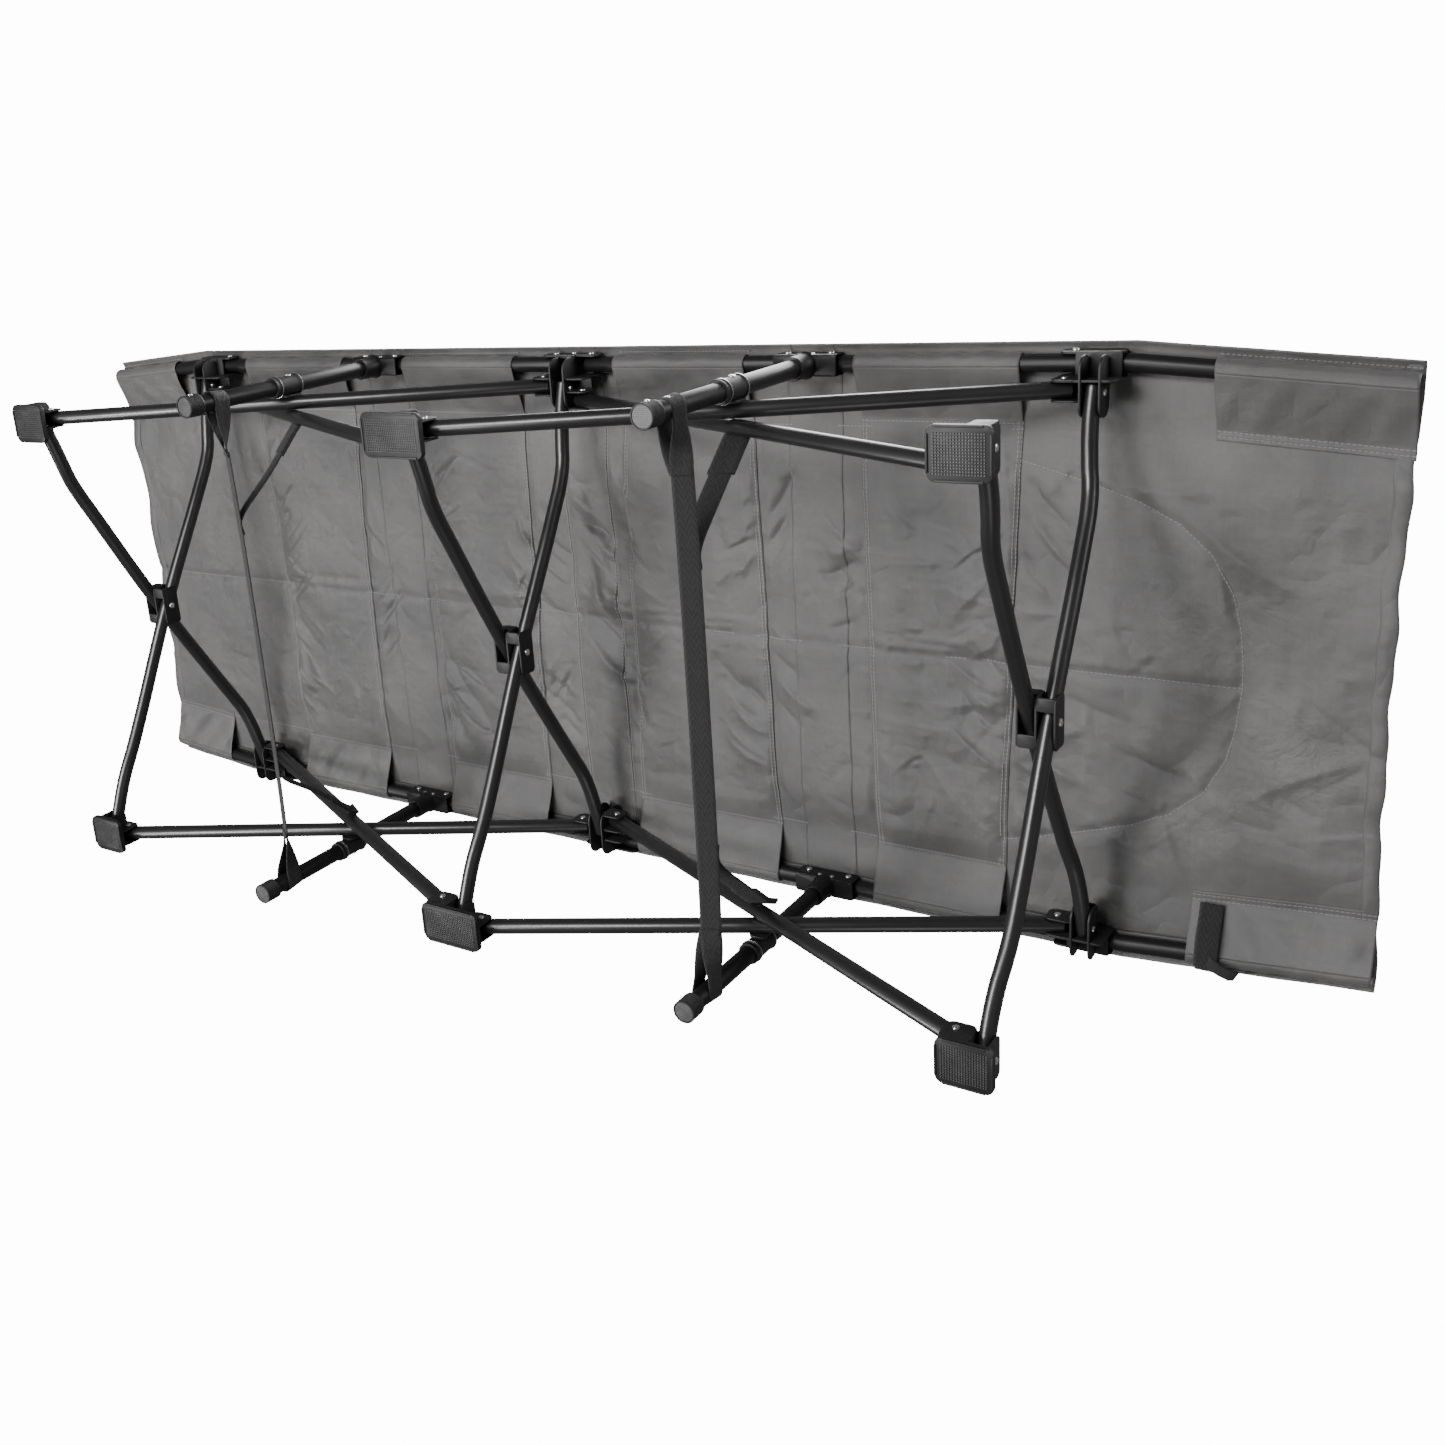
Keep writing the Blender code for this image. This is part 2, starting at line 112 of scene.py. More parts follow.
# ---- sizes of the fabric ------------------------------------------------------
CLOTH = 0.0010              # thickness of one layer
DECK_Z = RAIL_Z + RAIL_R + 0.0007
INNER_EDGE = RAIL_Y - 0.010
OUTER_EDGE = RAIL_Y + 0.0225
FLAP_EDGE = RAIL_Y - 0.0028
SEAM_Y = RAIL_Y - 0.064     # where a sleeve's flap is sewn to the deck
FLAP_SEAM = 0.010           # how far an end flap runs on past its seam
BRIDGE = 0.036              # half the width of the strips over the hinges
LEVEL = -0.0055             # the deck sags this far between its rails
LAY_Y = 0.270               # half the width of the padded layer's grid
LAY_END = {"foot": -0.925, "head": 0.803}
CENTRE_SEAM = 0.010
STITCH = (0.0038, 0.0012, 0.0011)
STITCH_PITCH = 0.0052

# bands across the underside: end positions on the left and on the right
BANDS = {
    "foot": ((-0.635, -0.456), (-0.638, -0.438), "rail_foot"),
    "foot_bay": ((-0.322, -0.139), (-0.321, -0.125), "rail_foot_bay"),
    "head_bay": ((0.020, 0.243), (0.037, 0.227), "rail_head_bay"),
    "head": ((0.379, 0.544), (0.371, 0.566), "rail_head"),
}
END_SLEEVES = {
    "foot": ((DECK_LOW + 0.002, -0.815), (DECK_LOW + 0.002, -0.800), "rail_foot"),
    "head": ((0.761, DECK_HIGH - 0.002), (0.766, DECK_HIGH - 0.002), "rail_head"),
}
# the deck's panels: x range, body on the right-hand side
PANELS = {
    "foot": (DECK_LOW, POST_X["foot_bay"] - RAIL_OFFSET, "rail_foot_right"),
    "foot_bay": (POST_X["foot_bay"] + RAIL_OFFSET, X_MIDDLE - RAIL_OFFSET,
                 "rail_foot_bay_right"),
    "head_bay": (X_MIDDLE + RAIL_OFFSET, POST_X["head_bay"] - RAIL_OFFSET,
                 "rail_head_bay_right"),
    "head": (POST_X["head_bay"] + RAIL_OFFSET, DECK_HIGH, "rail_head_right"),
}
# the strips over the rails' hinges: middle, body on the right-hand side
BRIDGES = {
    "foot_hinge": (POST_X["foot_bay"], "post_foot_bay_right"),
    "middle": (X_MIDDLE, "bracket_middle_right"),
    "head_hinge": (POST_X["head_bay"], "post_head_bay_right"),
}
# cross seams: where each meets the right and the left edge
SEAMS = [(right[i], left[i]) for left, right, _ in BANDS.values() for i in (0, 1)]
SEAMS += [(X_MIDDLE - BRIDGE, X_MIDDLE - BRIDGE), (X_MIDDLE + BRIDGE, X_MIDDLE + BRIDGE)]
# the padded layer's half width along the bed, with its round head end
LAY_HALF = 0.262
LAY_SHAPE = ((-0.925, LAY_HALF), (0.400, LAY_HALF), (0.470, 0.252), (0.537, 0.236),
             (0.615, 0.214), (0.691, 0.189), (0.735, 0.166), (0.769, 0.135),
             (0.790, 0.094), (0.799, 0.055), (0.803, 0.012))


# ---- shader maths -------------------------------------------------------------
class Value:
    """A socket whose arithmetic adds the nodes for it."""

    def __init__(self, nodes, socket):
        self.nodes = nodes
        self.socket = socket

    def maths(self, operation, *others):
        return self.nodes.node("ShaderNodeMath", {"operation": operation}, self, *others)

    def __add__(self, other):
        return self.maths("ADD", other)

    def __sub__(self, other):
        return self.maths("SUBTRACT", other)

    def __mul__(self, other):
        return self.maths("MULTIPLY", other)

    def __rsub__(self, other):
        return self.nodes.node("ShaderNodeMath", {"operation": "SUBTRACT"}, other, self)

    __radd__ = __add__
    __rmul__ = __mul__

    def sine(self):
        return self.maths("SINE")

    def ridge(self):
        """Folds a noise about its middle, which leaves creases."""
        return (self - 0.5).maths("ABSOLUTE")

    def between(self, low, high):
        """0 below low, 1 above high and smooth between them."""
        return self.nodes.node("ShaderNodeMapRange",
                               {"interpolation_type": "SMOOTHSTEP"}, self, low, high)


def opaque(colour):
    return colour if isinstance(colour, Value) else (*colour[:3], 1.0)


def shade(colour, factor, lift=0.0):
    return tuple(min(1.0, factor * c + lift) for c in colour)


class Nodes:
    """A node tree under construction."""

    def __init__(self, tree):
        self.tree = tree

    def node(self, kind, settings, *values, out=0, sockets=None, **named):
        """Adds a node: its settings, then its sockets by place, number or name."""
        made = self.tree.nodes.new(kind)
        for key, setting in settings.items():
            setattr(made, key, setting)
        for key, value in [*enumerate(values), *(sockets or {}).items(), *named.items()]:
            self.link(made.inputs[key], value)
        return Value(self, made.outputs[out])

    def link(self, socket, value):
        if isinstance(value, Value):
            self.tree.links.new(value.socket, socket)
        else:
            socket.default_value = value

    def mix(self, factor, first, second):
        """Blends two colours."""
        return self.node("ShaderNodeMix", {"data_type": "RGBA"}, factor, out=2,
                         sockets={6: opaque(first), 7: opaque(second)})


class Finish(Nodes):
    """A material under construction."""

    def __init__(self, name):
        material = bpy.data.materials.new(name)
        material.use_nodes = True
        super().__init__(material.node_tree)
        self.shader = self.tree.nodes["Principled BSDF"]

    def place(self, scale=(1, 1, 1)):
        """Object coordinates, scaled."""
        where = self.node("ShaderNodeTexCoord", {}, out="Object")
        return self.node("ShaderNodeMapping", {}, where, Scale=scale)

    def uv(self, axis):
        """One coordinate of the piece's own UV map."""
        where = self.node("ShaderNodeTexCoord", {}, out="UV")
        return self.node("ShaderNodeSeparateXYZ", {}, where, out=axis)

    def noise(self, vector, scale, detail=3.0, roughness=0.5, out=0):
        return self.node("ShaderNodeTexNoise", {}, vector, out=out, Scale=scale,
                         Detail=detail, Roughness=roughness)

    def bump(self, height, strength, distance):
        normal = self.node("ShaderNodeBump", {}, Height=height, Strength=strength,
                           Distance=distance)
        self.link(self.shader.inputs["Normal"], normal)

    def set(self, **sockets):
        for key, value in sockets.items():
            if key.endswith("Color"):
                value = opaque(value)
            self.link(self.shader.inputs[key.replace("_", " ")], value)


def paint_finish(name, colour, roughness, gloss):
    """Black powder coat: orange peel, faint dust and rubbed patches."""
    made = Finish(name)
    where = made.place()
    peel = made.noise(where, 420.0, 2.0)
    cloudy = made.noise(where, 9.0, 4.0, 0.6)
    dust = made.noise(made.place((60, 60, 60)), 1.0, 6.0, 0.7).between(0.60, 0.78)
    made.set(Base_Color=made.mix(dust * 0.35 + cloudy * 0.18, colour,
                                 shade(colour, 2.4, 0.006)),
             Roughness=cloudy * 0.12 + peel * 0.05 + dust * 0.08 + roughness,
             Specular_IOR_Level=gloss)
    made.bump(peel, 0.16, 0.0004)


def plastic_finish(name, colour, roughness):
    """Moulded nylon: fine grain, slightly paler where handled."""
    made = Finish(name)
    where = made.place()
    grain = made.noise(where, 1500.0, 2.0)
    cloudy = made.noise(where, 35.0, 4.0, 0.6)
    made.set(Base_Color=made.mix(cloudy.between(0.45, 0.75) * 0.5, colour,
                                 shade(colour, 2.2, 0.008)),
             Roughness=cloudy * 0.20 + grain * 0.10 + roughness)
    made.bump(grain, 0.35, 0.0003)


def rubber_finish(colour):
    """Rubber with pale scuffs."""
    made = Finish("ribbed_black_rubber")
    where = made.place()
    grain = made.noise(where, 900.0, 3.0)
    scuffs = made.noise(where, 120.0, 5.0, 0.7).between(0.5, 0.72)
    made.set(Base_Color=made.mix(scuffs * 0.6, colour, shade(colour, 3.0, 0.02)),
             Roughness=scuffs * 0.18 + grain * 0.10 + 0.50)
    made.bump(grain, 0.4, 0.0004)


def rivet_finish(colour):
    made = Finish("bright_rivet_steel")
    grain = made.noise(made.place(), 700.0, 4.0, 0.6)
    made.set(Base_Color=colour, Metallic=1.0, Roughness=grain * 0.22 + 0.16)
    made.bump(grain, 0.15, 0.0003)


def cloth_finish(colour):
    """Plain-woven polyester with a satin coating, crumpled and faintly clouded."""
    made = Finish("grey_woven_polyester")
    where = made.place()
    sway = made.noise(where, 60.0, 3.0)
    thread = 2 * math.pi / 0.0011
    across, along = (
        (made.node("ShaderNodeSeparateXYZ", {}, where, out=axis) * thread + sway * 2.0).sine()
        for axis in (0, 1))
    weave = along * across
    slub = made.noise(made.place((8, 300, 60)), 1.0, 2.0)
    slub_across = made.noise(made.place((300, 8, 60)), 1.0, 2.0)
    cloudy = made.noise(where, 5.5, 5.0, 0.62)
    fine = made.noise(where, 900.0, 2.0)
    pale = shade(colour, 1.18)
    warm = (pale[0] * 1.03, pale[1], pale[2] * 0.975)
    amount = cloudy * 0.75 + slub * 0.10 + slub_across * 0.10 + weave * 0.05
    made.set(Base_Color=made.mix(amount.between(0.28, 0.72), shade(colour, 0.80), warm),
             Roughness=cloudy * 0.14 + fine * 0.08 + 0.31,
             Sheen_Weight=0.15, Sheen_Roughness=0.40, Specular_IOR_Level=0.62)
    # crumples: creased ridges of three sizes, stronger in some places than others
    warp = made.noise(where, 14.0, 2.0, out="Color")
    bent = made.node("ShaderNodeVectorMath", {"operation": "MULTIPLY_ADD"}, warp,
                     (0.05, 0.05, 0.05), where)
    patches = cloudy.between(0.44, 0.70)
    height = (made.noise(bent, 17.0, 1.0).ridge() * 0.75
              + made.noise(bent, 42.0, 2.0).ridge() * 0.42 * patches
              + made.noise(bent, 110.0, 2.0).ridge() * 0.10 * patches
              + weave * 0.012 + slub * 0.006 + slub_across * 0.006)
    made.bump(height, 0.80, 0.0085)


def webbing_finish(colour):
    """Woven strap on its own UV map: U across the strap, V metres along it."""
    made = Finish("black_polypropylene_webbing")
    across, along = made.uv(0), made.uv(1)
    fold = ((across - 0.5) * 4.0).maths("PINGPONG", 1.0)
    twill = (along * 700.0 + fold * 9.0).sine()
    yarn = (across * (2 * math.pi * 26)).sine()
    fuzz = made.noise(made.place(), 1300.0, 2.0)
    tone = twill * 0.22 + yarn * 0.14 + fuzz * 0.35
    made.set(Base_Color=made.mix(tone.between(0.0, 0.75), colour,
                                 shade(colour, 2.0, 0.004)),
             Roughness=fuzz * 0.2 + 0.62, Sheen_Weight=0.10, Sheen_Roughness=0.5)
    made.bump(twill * 0.5 + yarn * 0.4 + fuzz * 0.3, 0.75, 0.0011)


def thread_finish(colour):
    made = Finish("grey_sewing_thread")
    twist = made.noise(made.place(), 1600.0, 2.0)
    made.set(Base_Color=made.mix(twist, shade(colour, 0.6), colour), Roughness=0.7)
    made.bump(twist, 0.5, 0.0003)


def floor_finish(colour):
    """Pale from above; from below it lets everything through."""
    made = Finish("pale_floor")
    tone = made.mix(made.noise(made.place(), 1.4, 3.0), colour, shade(colour, 1.04))
    made.set(Base_Color=tone, Roughness=0.8, Emission_Color=tone, Emission_Strength=0.55)
    seen = made.node("ShaderNodeLightPath", {}, out="Is Camera Ray")
    behind = made.node("ShaderNodeNewGeometry", {}, out="Backfacing")
    clear = made.node("ShaderNodeBsdfTransparent", {}, out="BSDF")
    both = made.node("ShaderNodeMixShader", {}, seen * (1 - behind), clear,
                     Value(made, made.shader.outputs["BSDF"]))
    made.link(made.tree.nodes["Material Output"].inputs["Surface"], both)


# ---- shapes ---------------------------------------------------------------------
def rounded(bm, edges, offset, segments):
    bmesh.ops.bevel(bm, geom=edges, offset=offset, segments=segments, profile=0.5,
                    affect="EDGES", material=-1)


def boxed(low, high, axis=None, radius=0.0, soften=0.0005):
    """A box between two corners; its edges along one axis may be well rounded."""
    low, high = Vector(low), Vector(high)
    size = Vector(abs(b - a) for a, b in zip(low, high))
    bm = bmesh.new()
    bmesh.ops.create_cube(bm, size=1.0)
    bmesh.ops.scale(bm, vec=size, verts=bm.verts)
    bmesh.ops.translate(bm, vec=(low + high) / 2, verts=bm.verts)
    if axis is not None:
        edges = [
            e for e in bm.edges
            if abs((e.verts[0].co - e.verts[1].co).normalized()[axis]) > 0.9
        ]
        limit = 0.49 * min(size[i] for i in range(3) if i != axis)
        rounded(bm, edges, min(radius, limit), 6)
    edges = [e for e in bm.edges if e.calc_face_angle(0.0) > 0.9]
    rounded(bm, edges, min(soften, 0.3 * min(size)), 2)
    return bm


def turned(profile, steps=36):
    """A shape of revolution about Z from (radius, height) points."""
    bm = bmesh.new()
    verts = [bm.verts.new((r, 0, z)) for r, z in profile]
    edges = [bm.edges.new(pair) for pair in zip(verts, verts[1:])]
    bmesh.ops.spin(bm, geom=verts + edges, axis=(0, 0, 1), cent=(0, 0, 0),
                   angle=2 * math.pi, steps=steps, use_merge=True)
    bmesh.ops.remove_doubles(bm, verts=bm.verts, dist=1e-6)
    bmesh.ops.recalc_face_normals(bm, faces=bm.faces)
    return bm


def rivet(radius, height):
    """A domed head that stands on its own XY plane."""
    return turned([(0, -0.0004), (radius, -0.0004), (radius, height * 0.25),
                   (radius * 0.90, height * 0.62), (radius * 0.62, height * 0.90),
                   (radius * 0.30, height), (0, height)], 20)


class Piece:
    """Gathers shapes into one mesh, placed from a station and one side of the bed."""

    def __init__(self, name, x=0.0, sign=1):
        self.name, self.x, self.sign = name, x, sign
        self.bm = bmesh.new()

    def spot(self, x, y, z):
        return self.x + x, self.sign * y, z

    def join(self, shape):
        mesh = bpy.data.meshes.new("shape")
        shape.to_mesh(mesh)
        shape.free()
        self.bm.from_mesh(mesh)
        bpy.data.meshes.remove(mesh)

    def add(self, shape, at=(0, 0, 0), axis=(0, 0, 1)):
        """Joins a shape whose own +Z is turned to axis and whose origin is moved."""
        axis = Vector((axis[0], self.sign * axis[1], axis[2]))
        turn = Vector((0, 0, 1)).rotation_difference(axis).to_matrix().to_4x4()
        place = Matrix.Translation(self.spot(*at)) @ turn
        bmesh.ops.transform(shape, matrix=place, verts=shape.verts)
        self.join(shape)

    def box(self, low, high, axis=None, radius=0.0, soften=0.0005):
        self.join(boxed(self.spot(*low), self.spot(*high), axis, radius, soften))

    def rivet(self, at, axis, radius=0.0042, height=0.0021):
        self.add(rivet(radius, height), at, axis)

    def stud(self, x, y, radius, top, depth):
        """One square stud of a grip sole, wider at its top."""
        bmesh.ops.create_cone(
            self.bm, segments=4, cap_ends=True, radius1=radius, radius2=top,
            depth=depth, matrix=Matrix.Translation(self.spot(x, y, 0.0008))
            @ Matrix.Rotation(math.pi / 4, 4, "Z"))

    def finish(self, look, body, replaces=(), squash=False, slot=None):
        mesh = bpy.data.meshes.new(self.name)
        self.bm.to_mesh(mesh)
        self.bm.free()
        return finished(self.name, mesh, look, body, replaces, squash, slot=slot)


# what each look stands for among the solids' materials
SLOT_OF = {"moulded_black_plastic": "black_plastic", "ribbed_black_rubber": "black_rubber",
           "grey_woven_polyester": "grey_cloth", "satin_black_paint": "satin_black_steel",
           "matt_black_paint": "satin_black_steel",
           "black_polypropylene_webbing": "black_webbing"}


def folding(obj):
    """Gives the object its own copy of its mesh."""
    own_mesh(obj)


def finished(name, mesh, look, body, replaces=(), squash=False, sharp=32.0, slot=None):
    """Links the object, smooths it, gives it its material and sets what it rides on."""
    obj = bpy.data.objects.new(name, mesh)
    bpy.context.scene.collection.objects.link(obj)
    mesh.polygons.foreach_set("use_smooth", [True] * len(mesh.polygons))
    mesh.set_sharp_from_angle(angle=math.radians(sharp))
    mesh.materials.clear()
    mesh.materials.append(bpy.data.materials[look])
    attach(obj, body)
    slot = slot or SLOT_OF.get(look)
    if replaces:
        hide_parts(*replaces)
    if squash:
        folding(obj)
    return obj


def deepen(bm, points, depth, thin):
    """Stretches a tube's section by depth across its run, square to thin."""
    start, end = Vector(points[0]), Vector(points[-1])
    along = (end - start).normalized()
    across = Vector(thin).cross(along).normalized()
    away = [Vector(p) - start for p in points]
    runs, offs = [v.dot(along) for v in away], [v.dot(across) for v in away]
    for vert in bm.verts:
        away = vert.co - start
        off = away.dot(across) - float(np.interp(away.dot(along), runs, offs))
        vert.co += across * off * (depth - 1)


def bevelled_curve(name, points, radius, bent):
    """The mesh of a round bar along points, straight between them or bent."""
    curve = bpy.data.curves.new(name, "CURVE")
    curve.dimensions = "3D"
    curve.bevel_depth = radius
    curve.bevel_resolution = 6
    curve.use_fill_caps = True
    curve.resolution_u = 8
    spline = curve.splines.new("BEZIER" if bent else "POLY")
    stops = spline.bezier_points if bent else spline.points
    stops.add(len(points) - 1)
    for stop, point in zip(stops, points):
        if bent:
            stop.co = point
            stop.handle_left_type = stop.handle_right_type = "AUTO"
        else:
            stop.co = (*point, 1.0)
    carrier = bpy.data.objects.new(name + "_line", curve)
    bpy.context.scene.collection.objects.link(carrier)
    shown = carrier.evaluated_get(bpy.context.evaluated_depsgraph_get())
    mesh = bpy.data.meshes.new_from_object(shown)
    bpy.data.objects.remove(carrier)
    bpy.data.curves.remove(curve)
    mesh.name = name
    return mesh


def tube(name, node, points, radius, body=None, paint="matt_black_paint", bent=False,
         depth=1.0, thin=None):
    """A painted tube in a node's place, closed at both ends.

    An oval one is deeper by a factor, square to its run and to thin.
    """
    mesh = bevelled_curve(name, points, radius, bent)
    bm = bmesh.new()
    bm.from_mesh(mesh)
    bmesh.ops.remove_doubles(bm, verts=bm.verts, dist=1e-6)
    if thin:
        deepen(bm, points, depth, thin)
    rounded(bm, [e for e in bm.edges if e.calc_face_angle(0.0) > 1.2], 0.0008, 2)
    bm.to_mesh(mesh)
    bm.free()
    finished(name, mesh, paint, body or node, [node], sharp=50.0)


# ---- tubes ------------------------------------------------------------------------
def beyond(start, end):
    start, end = Vector(start), Vector(end)
    return end + (end - start).normalized() * OVERSHOOT


def pulled_in(x):
    """How far the tapering deck edge lies inside the straight rails' line."""
    total = np.zeros_like(np.asarray(x, float))
    for end, sign in (("foot", -1), ("head", 1)):
        bend = STATION[end] + sign * BEND_OUT
        along = (np.asarray(x, float) - bend) / (END_X[end] - bend)
        total = total + np.clip(along, 0, None) * TAPER[end]
    return total


def leg_points(low, high, joggle):
    """An S along a leg: straight at its pivots, bowed, and aside at the hub."""
    low, high = Vector(low), Vector(high)
    along = (high - low).normalized()
    across = (Vector((0, 0, 1)) - along * along.z).normalized()
    length = (high - low).length
    # distance from the pivot, share of the bow, share of the joggle
    stops = (
        (-OVERSHOOT, OVERSHOOT / BOW_AT, 0.0),
        (0.030, -0.030 / BOW_AT, 0.0),
        (0.075, -0.82, 0.35),
        (BOW_AT, -0.97, 0.65),
        (0.120, -0.95, 0.90),
        (0.160, -0.78, 1.0),
    )
    lower = [low + along * s + across * LOWER_BOW * bow + Vector((joggle * side, 0, 0))
             for s, bow, side in stops]
    upper = [low + along * (length - s) - across * UPPER_BOW * bow
             + Vector((joggle * side, 0, 0)) for s, bow, side in reversed(stops)]
    hub = low + along * length / 2 + Vector((joggle, 0, 0))
    return [*lower, hub, *upper]


def build_legs():
    for place, x in STATION.items():
        for top, sign in SIDE.items():
            low, high = (x, -sign * LEG_Y, LOW_Z), (x, sign * LEG_Y, HIGH_Z)
            tube(f"leg_tube_{place}_{top}", f"leg_{place}_up_to_{top}",
                 leg_points(low, high, -sign * LEG_JOGGLE), LEG_R,
                 f"leg_{'a' if top == 'left' else 'b'}_{place}", "satin_black_paint",
                 bent=True, depth=LEG_OVAL, thin=(1, 0, 0))


def build_braces():
    for bay, first, second in (("foot_bay", "foot", "middle"),
                               ("head_bay", "middle", "head")):
        x0, x1 = STATION[first] + BRACE_OFFSET, STATION[second] - BRACE_OFFSET
        for side, sign in SIDE.items():
            for kind, y, low_x, high_x in (
                    ("outer", OUTER_BRACE_Y, x0, x1),
                    ("inner", INNER_BRACE_Y - INNER_SHIFT, x1, x0)):
                low, high = (low_x, sign * y, LOW_Z), (high_x, sign * y, HIGH_Z)
                tube(f"brace_tube_{kind}_{bay}_{side}", f"brace_{kind}_{bay}_{side}",
                     [beyond(high, low), beyond(low, high)], BRACE_R[kind],
                     paint="satin_black_paint", depth=BRACE_DEPTH / BRACE_R[kind],
                     thin=(0, 1, 0))


def build_rails_and_posts():
    pinned = RAIL_OFFSET - OVERSHOOT
    for side, sign in SIDE.items():
        y = sign * RAIL_Y
        for bay, towards, end in (("foot_bay", -1, "foot"), ("head_bay", 1, "head")):
            x, tip = POST_X[bay], END_X[end] - towards * 0.006
            tube(f"rail_tube_{bay}_{side}", f"rail_{bay}_{side}",
                 [(X_MIDDLE + towards * pinned, y, RAIL_Z),
                  (x - towards * pinned, y, RAIL_Z)], RAIL_R)
            tube(f"rail_tube_{end}_{side}", f"rail_{end}_{side}",
                 [(x + towards * pinned, y, RAIL_Z),
                  (STATION[end] + towards * BEND_OUT, y, RAIL_Z),
                  (tip, y - sign * float(pulled_in(tip)), RAIL_Z)], RAIL_R)
            tube(f"post_tube_{bay}_{side}", f"post_{bay}_{side}",
                 [(x, y, 0.006), (x, y, RAIL_Z - 0.0158)], POST_R)


# ---- fittings -----------------------------------------------------------------------
def pair(piece, rivets, suffix, x, sign=1):
    return Piece(f"{piece}_{suffix}", x, sign), Piece(f"{rivets}_{suffix}", x, sign)


def finish_pair(piece, rivets, body, node=None, look="moulded_black_plastic", slot=None):
    piece.finish(look, body, [node or body], slot=slot)
    rivets.finish("bright_rivet_steel", body)


def pocket(piece, rivets, y, towards, pivot_z, z0, z1):
    """Two rounded cheeks either side of a brace end, each with its rivet."""
    for side in (-1, 1):
        piece.box((towards * (SLOT + 0.0005), y + side * POCKET_GAP, z0),
                  (towards * (BRACE_OFFSET + 0.0125),
                   y + side * (POCKET_GAP + POCKET_WALL), z1), 1, 0.009)
        rivets.rivet((towards * BRACE_OFFSET, y + side * (POCKET_GAP + POCKET_WALL),
                      pivot_z), (0, side, 0))


def leg_slot(piece, rivets, y0, y1, pivot_z, z0, z1, radius):
    """The two cheeks that a leg's end turns between, each with its rivet."""
    for side in (-1, 1):
        piece.box((side * SLOT, y0, z0), (side * (SLOT + CHEEK), y1, z1), 0, radius)
        rivets.rivet((side * (SLOT + CHEEK), LEG_Y, pivot_z), (side, 0, 0))


def high_pocket(piece, rivets, y, towards):
    pocket(piece, rivets, y, towards, HIGH_Z, HIGH_Z - 0.0135, HIGH_Z + 0.0145)


def gusset(piece, towards, y):
    """A web between a bracket's cheek and its pocket."""
    piece.box((towards * 0.0105, y, HIGH_Z + 0.0125),
              (towards * 0.0360, 0.3225, HIGH_Z + 0.0150), 2, 0.004)


def build_middle_bracket(side, sign):
    """The only bracket whose rails are pinned on both sides of it."""
    piece, rivets = pair("rail_bracket_middle", "rivets_middle", side, X_MIDDLE, sign)
    leg_slot(piece, rivets, 0.2835, 0.3482, HIGH_Z, HIGH_Z - 0.0145, RAIL_Z + 0.0095,
             0.015)
    reach = RAIL_OFFSET + 0.015
    for inside, face, facing in PLATES:
        piece.box((-reach, inside, RAIL_Z - 0.0125), (reach, face, RAIL_Z + 0.0092), 1,
                  0.007)
        for towards in (-1, 1):
            rivets.rivet((towards * RAIL_OFFSET, face, RAIL_Z), (0, facing, 0))
    rivets.rivet((0, 0.3500, RAIL_Z + 0.001), (0, 1, 0), 0.0034)
    piece.box((-0.0110, 0.3216, RAIL_Z + 0.0045), (0.0110, 0.3498, RAIL_Z + 0.0090))
    piece.box((-0.0110, 0.3465, RAIL_Z - 0.020), (0.0110, 0.3498, RAIL_Z + 0.0080), 1,
              0.004)
    for towards, y in ((-1, OUTER_BRACE_Y), (1, INNER_BRACE_Y)):
        high_pocket(piece, rivets, y, towards)
        gusset(piece, towards, 0.3030)
        piece.box((towards * 0.010, 0.3216, HIGH_Z - 0.0115),
                  (towards * 0.040, 0.3240, RAIL_Z - 0.009), 1, 0.004)
    finish_pair(piece, rivets, f"bracket_middle_{side}")


def build_end_bracket(place, towards, brace_y, side, sign):
    """Carries the rail in a saddle with an outer plate and one rivet."""
    piece, rivets = pair(f"rail_bracket_{place}", f"rivets_bracket_{place}", side,
                         STATION[place], sign)
    leg_slot(piece, rivets, 0.2835, 0.3482, HIGH_Z, HIGH_Z - 0.0145, RAIL_Z - 0.0112,
             0.014)
    # the saddle: two plates either side of the rail joined over the leg slot
    for (inside, face, facing), floor in zip(PLATES, (HIGH_Z - 0.013, RAIL_Z - 0.0135)):
        piece.box((-towards * 0.026, inside, floor),
                  (towards * 0.042, face, RAIL_Z + 0.0092), 1, 0.0085)
        rivets.rivet((towards * RAIL_OFFSET, face, RAIL_Z), (0, facing, 0))
    piece.box((-0.0240, 0.3216, RAIL_Z - 0.0140), (0.0240, 0.3498, RAIL_Z - 0.0108))
    piece.box((-0.0110, 0.2845, HIGH_Z + 0.0125), (0.0110, 0.3225, HIGH_Z + 0.0155), 2,
              0.004)
    high_pocket(piece, rivets, brace_y, towards)
    gusset(piece, towards, brace_y - 0.0110)
    finish_pair(piece, rivets, f"bracket_{place}_{side}")


